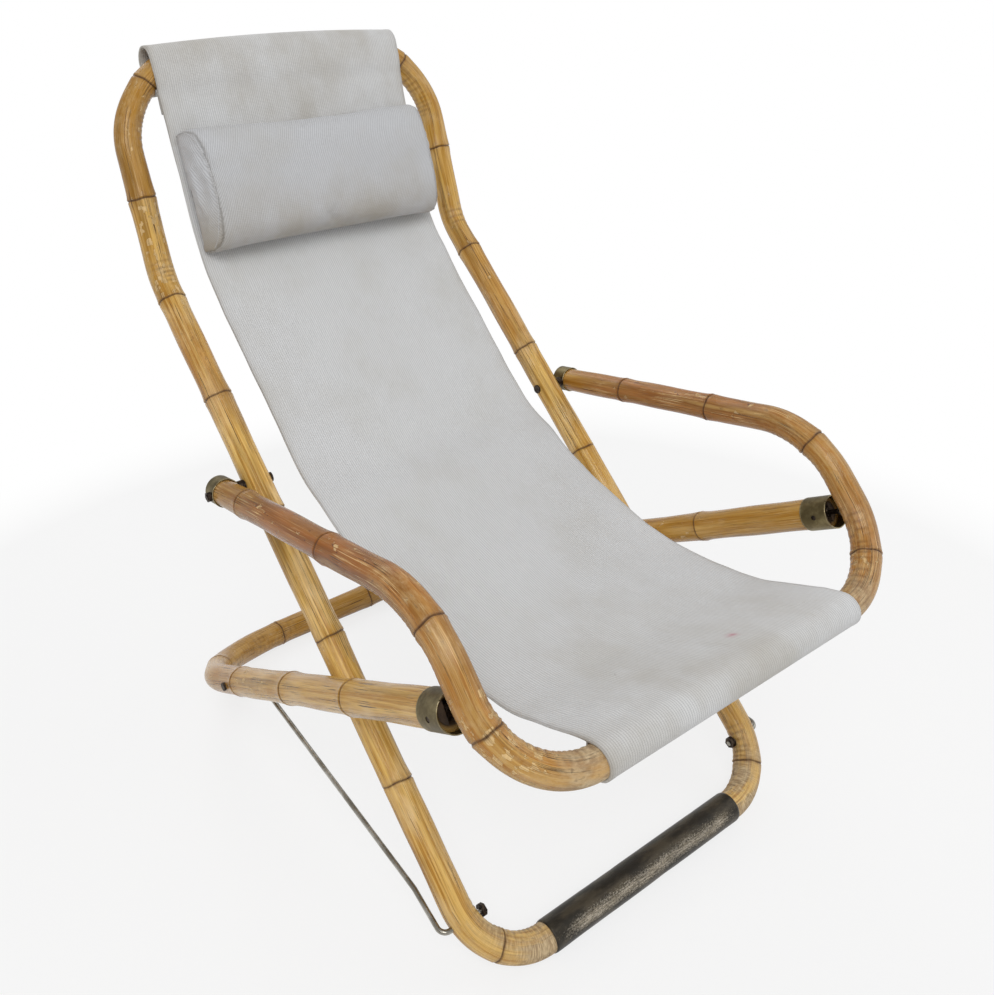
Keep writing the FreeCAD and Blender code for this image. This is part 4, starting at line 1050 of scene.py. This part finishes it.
def tube_mesh(name, points, radius, material, closed=True):
    """A thin roll along a line, such as piping."""
    sides = 10
    ends = points[-1:] + points + points[:1] if closed else points[:1] + points + points[-1:]
    vertices, places = [], []
    travelled = 0.0
    for before, point, after in zip(ends, points, ends[2:]):
        tangent = (after - before).normalized()
        first = tangent.cross(Vector((1, 0, 0)) if abs(tangent.x) < 0.8 else Vector((0, 0, 1))).normalized()
        second = tangent.cross(first)
        travelled += (point - before).length
        for side in range(sides):
            angle = 2 * math.pi * side / sides
            vertices.append(point + turned(first, second, angle) * radius)
            places.append((travelled, angle * radius, 0.0))
    faces = tube_faces(len(points), sides, closed)
    if not closed:
        faces += [tuple(range(sides))[::-1], tuple(range(len(vertices) - sides, len(vertices)))]
    made = mesh_object(name, vertices, faces, material, {"cloth_place": places, "dirt_and_shade": [0.3] * len(places)})
    fix_normals(made)
    return made


def evened(points, closed):
    """A line with its small jumps smoothed out."""
    points = [point for point in points if point is not None]
    for _ in range(SEAM_EVENING):
        even = [(before + point * 2 + after) / 4
                for before, point, after in zip(points[-1:] + points, points, points[1:] + points[:1])]
        points = even if closed else points[:1] + even[1:-1] + points[-1:]
    return points


def pipe_pillow(cover, seat):
    """Sewn rolls round both ends of the pillow and along its top and bottom, laid on its surface."""
    middle, up_way, forward_way = seat
    tree = BVHTree.FromObject(cover, bpy.context.evaluated_depsgraph_get())

    def laid(x, way, sink):
        """The place where a line from the outside meets the pillow, sunk in a little."""
        centre = at_side(middle, x) + forward_way * PILLOW_DEPTH * 0.4
        hit = tree.ray_cast(centre + way * 0.2, -way)[0]
        return None if hit is None else hit - way * sink

    lines = []
    for name, sign in (("left", -1), ("right", 1)):
        loop = []
        for count in range(120):
            angle = 2 * math.pi * count / 120
            ahead = PILLOW_DEPTH * (0.4 + 0.6 * max(0, math.sin(angle)))
            way = turned(up_way, forward_way, angle)
            loop.append(laid(sign * (seam_reach(ahead) - 0.002), way, 0.0005))
        lines.append((name, loop, PIPING, True))
    reach = seam_reach(PILLOW_DEPTH * 0.3)
    for name, up, radius in (("top", 1.0, PIPING), ("bottom", -1.0, LOWER_PIPING)):
        way = (up_way * up * 0.98 - forward_way * 0.22).normalized()
        line = [laid(reach * (2 * count / 90 - 1), way, 0.0004) for count in range(91)]
        lines.append((name, line, radius, False))
    for name, line, radius, closed in lines:
        made = tube_mesh("pillow_piping_" + name, evened(line, closed), radius, pillow_cloth, closed)
        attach(made, "back")


# Finishes of the metal and wooden pieces that keep their own shape.

def finish_nodes():
    """Give each piece that keeps its CAD shape its finish."""
    finishes = {
        brass: ("arm_cap_left", "arm_cap_right", "ferrule_left", "ferrule_right"),
        steel_rod: ("tie_rod_left", "tie_rod_right"),
        dark_steel: ("arm_pivot_bolts", "arm_pivot_nuts", "arm_spacers", "eye_bolts", "hinge_pins",
                     "tie_rod_bolts", "tie_rod_washer_left", "tie_rod_washer_right", "tie_rod_nut_left",
                     "tie_rod_nut_right"),
        aged_and_shaded_plug_wood: ("floor_bar_dowel", "top_bar_dowel", "hinge_plugs"),
    }
    for material, names in finishes.items():
        for name in names:
            node = frame["nodes"][name]
            if len(node.material_slots) == 0:
                node.data.materials.append(material)
            for slot in node.material_slots:
                slot.material = material


def sleeve_wear_and_highlight(x, angle, half):
    """How rubbed the floor tube is painted: a band ahead that is partly rubbed metal and partly painted
    highlight, a fainter rubbed band below, and rubbed ends.
    """
    turn = math.degrees(angle) - (0 if angle < math.pi else 360)
    drift = 6 * ripple(x * 14, 0, 3)
    fade = min(1, (half - abs(x)) / 0.035)
    band = bell(turn - 31 - drift, 31) * (0.25 + 0.75 * fade)
    return max(band, 0.55 * bell(turn + 75, 30), 0.35 if abs(x) > half - 0.002 else 0)


def build_sleeve():
    """The dark metal tube over the floor bar, a little dented and rolled in at its ends."""
    length, _, width = sleeve_high - sleeve_low
    half, radius = length / 2, width / 2
    sides, steps = 72, 120
    ends = [(-half, RAIL_RADIUS + 0.0001), (-half, radius - 0.0005)]
    rows = ends + [((step / steps - 0.5) * length, radius) for step in range(1, steps)]
    rows += [(-x, reach) for x, reach in ends[::-1]]
    vertices, places, worn = [], [], []
    for x, reach in rows:
        for side in range(sides):
            angle = 2 * math.pi * side / sides
            ahead, up = math.cos(angle), math.sin(angle)
            dent = ripple(x * 22, ahead * 1.3, up * 1.3) + 0.5 * ripple(x * 60, ahead * 3, up * 3 + 5)
            r = reach - (0.0005 * max(0, dent) if reach > radius - 0.0002 else 0)
            vertices.append((x, floor_bar.y - r * ahead, floor_bar.z + r * up))
            places.append((r * ahead, r * up, x))
            # Wear, with the band ahead partly a painted highlight.
            worn.append(sleeve_wear_and_highlight(x, angle, half))
    attributes = {"pole_place": places, "worn": worn}
    made = mesh_object("floor_tube", vertices, tube_faces(len(rows), sides), sleeve_finish, attributes)
    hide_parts("floor_sleeve")
    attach(made, "back")


RIM = 0.0007
CAP_RIM_PLACE = 0.0056
FERRULE_RIMS = (("mouth", -0.0166), ("heel", 0.0172))


def rim(name, centre, way, radius, body):
    """A rolled edge round the mouth of a brass piece."""
    first = Vector((1, 0, 0))
    second = way.cross(first).normalized()
    points = [centre + turned(first, second, 2 * math.pi * count / 72) * radius for count in range(72)]
    made = tube_mesh(name, points, RIM, rim_brass)
    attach(made, body)


def build_rims():
    """The rolled edges of the arm caps and the ferrules."""
    for name, sign in (("left", -1), ("right", 1)):
        centre = at_side(arm_pivot + arm_way * CAP_RIM_PLACE, sign * ARM_HALF_WIDTH)
        rim("cap_rim_" + name, centre, arm_way, ARM_RADIUS + 0.0009, "arms")
        for end, place in FERRULE_RIMS:
            centre = at_side(base_hinge + base_way * place, sign * BASE_HALF_WIDTH)
            rim("ferrule_%s_%s" % (end, name), centre, base_way, BASE_RADIUS + 0.0007, "base")


# Floor, light and camera.

CAMERA_AZIMUTH = -35.845
CAMERA_ELEVATION = 24.224
CAMERA_ROLL = -1.668
CAMERA_PLACE = Vector((-0.68779, -0.88069, 0.98065))
CAMERA_LENS = 36.43
CAMERA_SHIFT = (0.0643, -0.0753)
FLOOR_HALF = 9.0
FLOOR_GAP = 0.0004
FLOOR_GLOW = 0.76
FLOOR_FADE = (0.50, 1.25)
WORLD_SEEN = 1.0
WORLD_LIGHT = 0.54
LAMP_TARGET = (0, 0, 0.4)
LAMPS = (("key", (-1.6, -2.2, 3.0), 1.6, 56), ("fill", (2.6, -1.4, 1.8), 2.2, 18),
         ("rim", (0.6, 2.6, 2.6), 1.8, 22))


def build_camera():
    """The camera at the photograph's viewing angle."""
    data = bpy.data.cameras.new("camera")
    data.lens = CAMERA_LENS
    data.sensor_fit = "HORIZONTAL"
    data.sensor_width = 36
    data.shift_x, data.shift_y = CAMERA_SHIFT
    camera = placed("camera", data)
    camera.matrix_world = Matrix.Translation(CAMERA_PLACE)
    for angle, axis in ((CAMERA_AZIMUTH, "Z"), (90 - CAMERA_ELEVATION, "X"), (CAMERA_ROLL, "Z")):
        camera.matrix_world @= Matrix.Rotation(math.radians(angle), 4, axis)
    bpy.context.scene.camera = camera


def build_lamps():
    """Soft square lamps, each aimed at the chair's middle."""
    for name, place, size, power in LAMPS:
        data = bpy.data.lights.new(name, "AREA")
        data.size = size
        data.energy = power
        lamp = placed(name, data)
        lamp.location = place
        lamp.rotation_euler = (Vector(LAMP_TARGET) - Vector(place)).to_track_quat("-Z", "Y").to_euler()


def seen_rays(graph, *kinds):
    """1 for rays of these kinds and 0 for others."""
    seen = 0.0
    for kind in kinds:
        seen = graph.math("MAXIMUM", seen, graph.node("ShaderNodeLightPath", output=kind))
    return seen


def build_floor():
    """A pale floor that glows to white away from the chair."""
    z = cad_low[2] - FLOOR_GAP
    corners = [(x * FLOOR_HALF, y * FLOOR_HALF, z) for x, y in ((-1, -1), (1, -1), (1, 1), (-1, 1))]
    graph = Graph(bpy.data.materials.new("floor"))
    graph.set(Base_Color=(0.74, 0.74, 0.74), Roughness=0.95, Specular_IOR_Level=0.05)
    place = graph.node("ShaderNodeTexCoord", output="Object")
    distance = graph.node("ShaderNodeVectorMath", ((0, place),), "Value", operation="LENGTH")
    glow = graph.math("MAXIMUM", graph.step(distance, *FLOOR_FADE), FLOOR_GLOW)
    seen = seen_rays(graph, "Is Camera Ray", "Is Glossy Ray", "Is Transmission Ray")
    blend = graph.node("ShaderNodeMixShader", ((0, graph.times(seen, glow)), (1, graph.shader.outputs[0]),
                                               (2, graph.node("ShaderNodeEmission"))))
    graph.plug(graph.nodes["Material Output"].inputs["Surface"], blend)
    floor = mesh_object("studio_floor", corners, [(0, 1, 2, 3)], graph.owner, smooth=False)


def build_world():
    """A white world, dimmer as a light than as it is seen."""
    world = bpy.data.worlds.new("studio")
    bpy.context.scene.world = world
    graph = Graph(world)
    seen = seen_rays(graph, "Is Camera Ray", "Is Transmission Ray")
    strength = graph.add(WORLD_LIGHT, graph.times(seen, WORLD_SEEN - WORLD_LIGHT))
    graph.set(Color=(1, 1, 1), Strength=strength)
    bpy.context.scene.view_settings.view_transform = "Standard"


build_camera()
build_floor()
build_world()
build_lamps()
build_back()
build_arms()
build_base()
finish_nodes()
build_sleeve()
build_rims()
build_sling()
build_pillow()
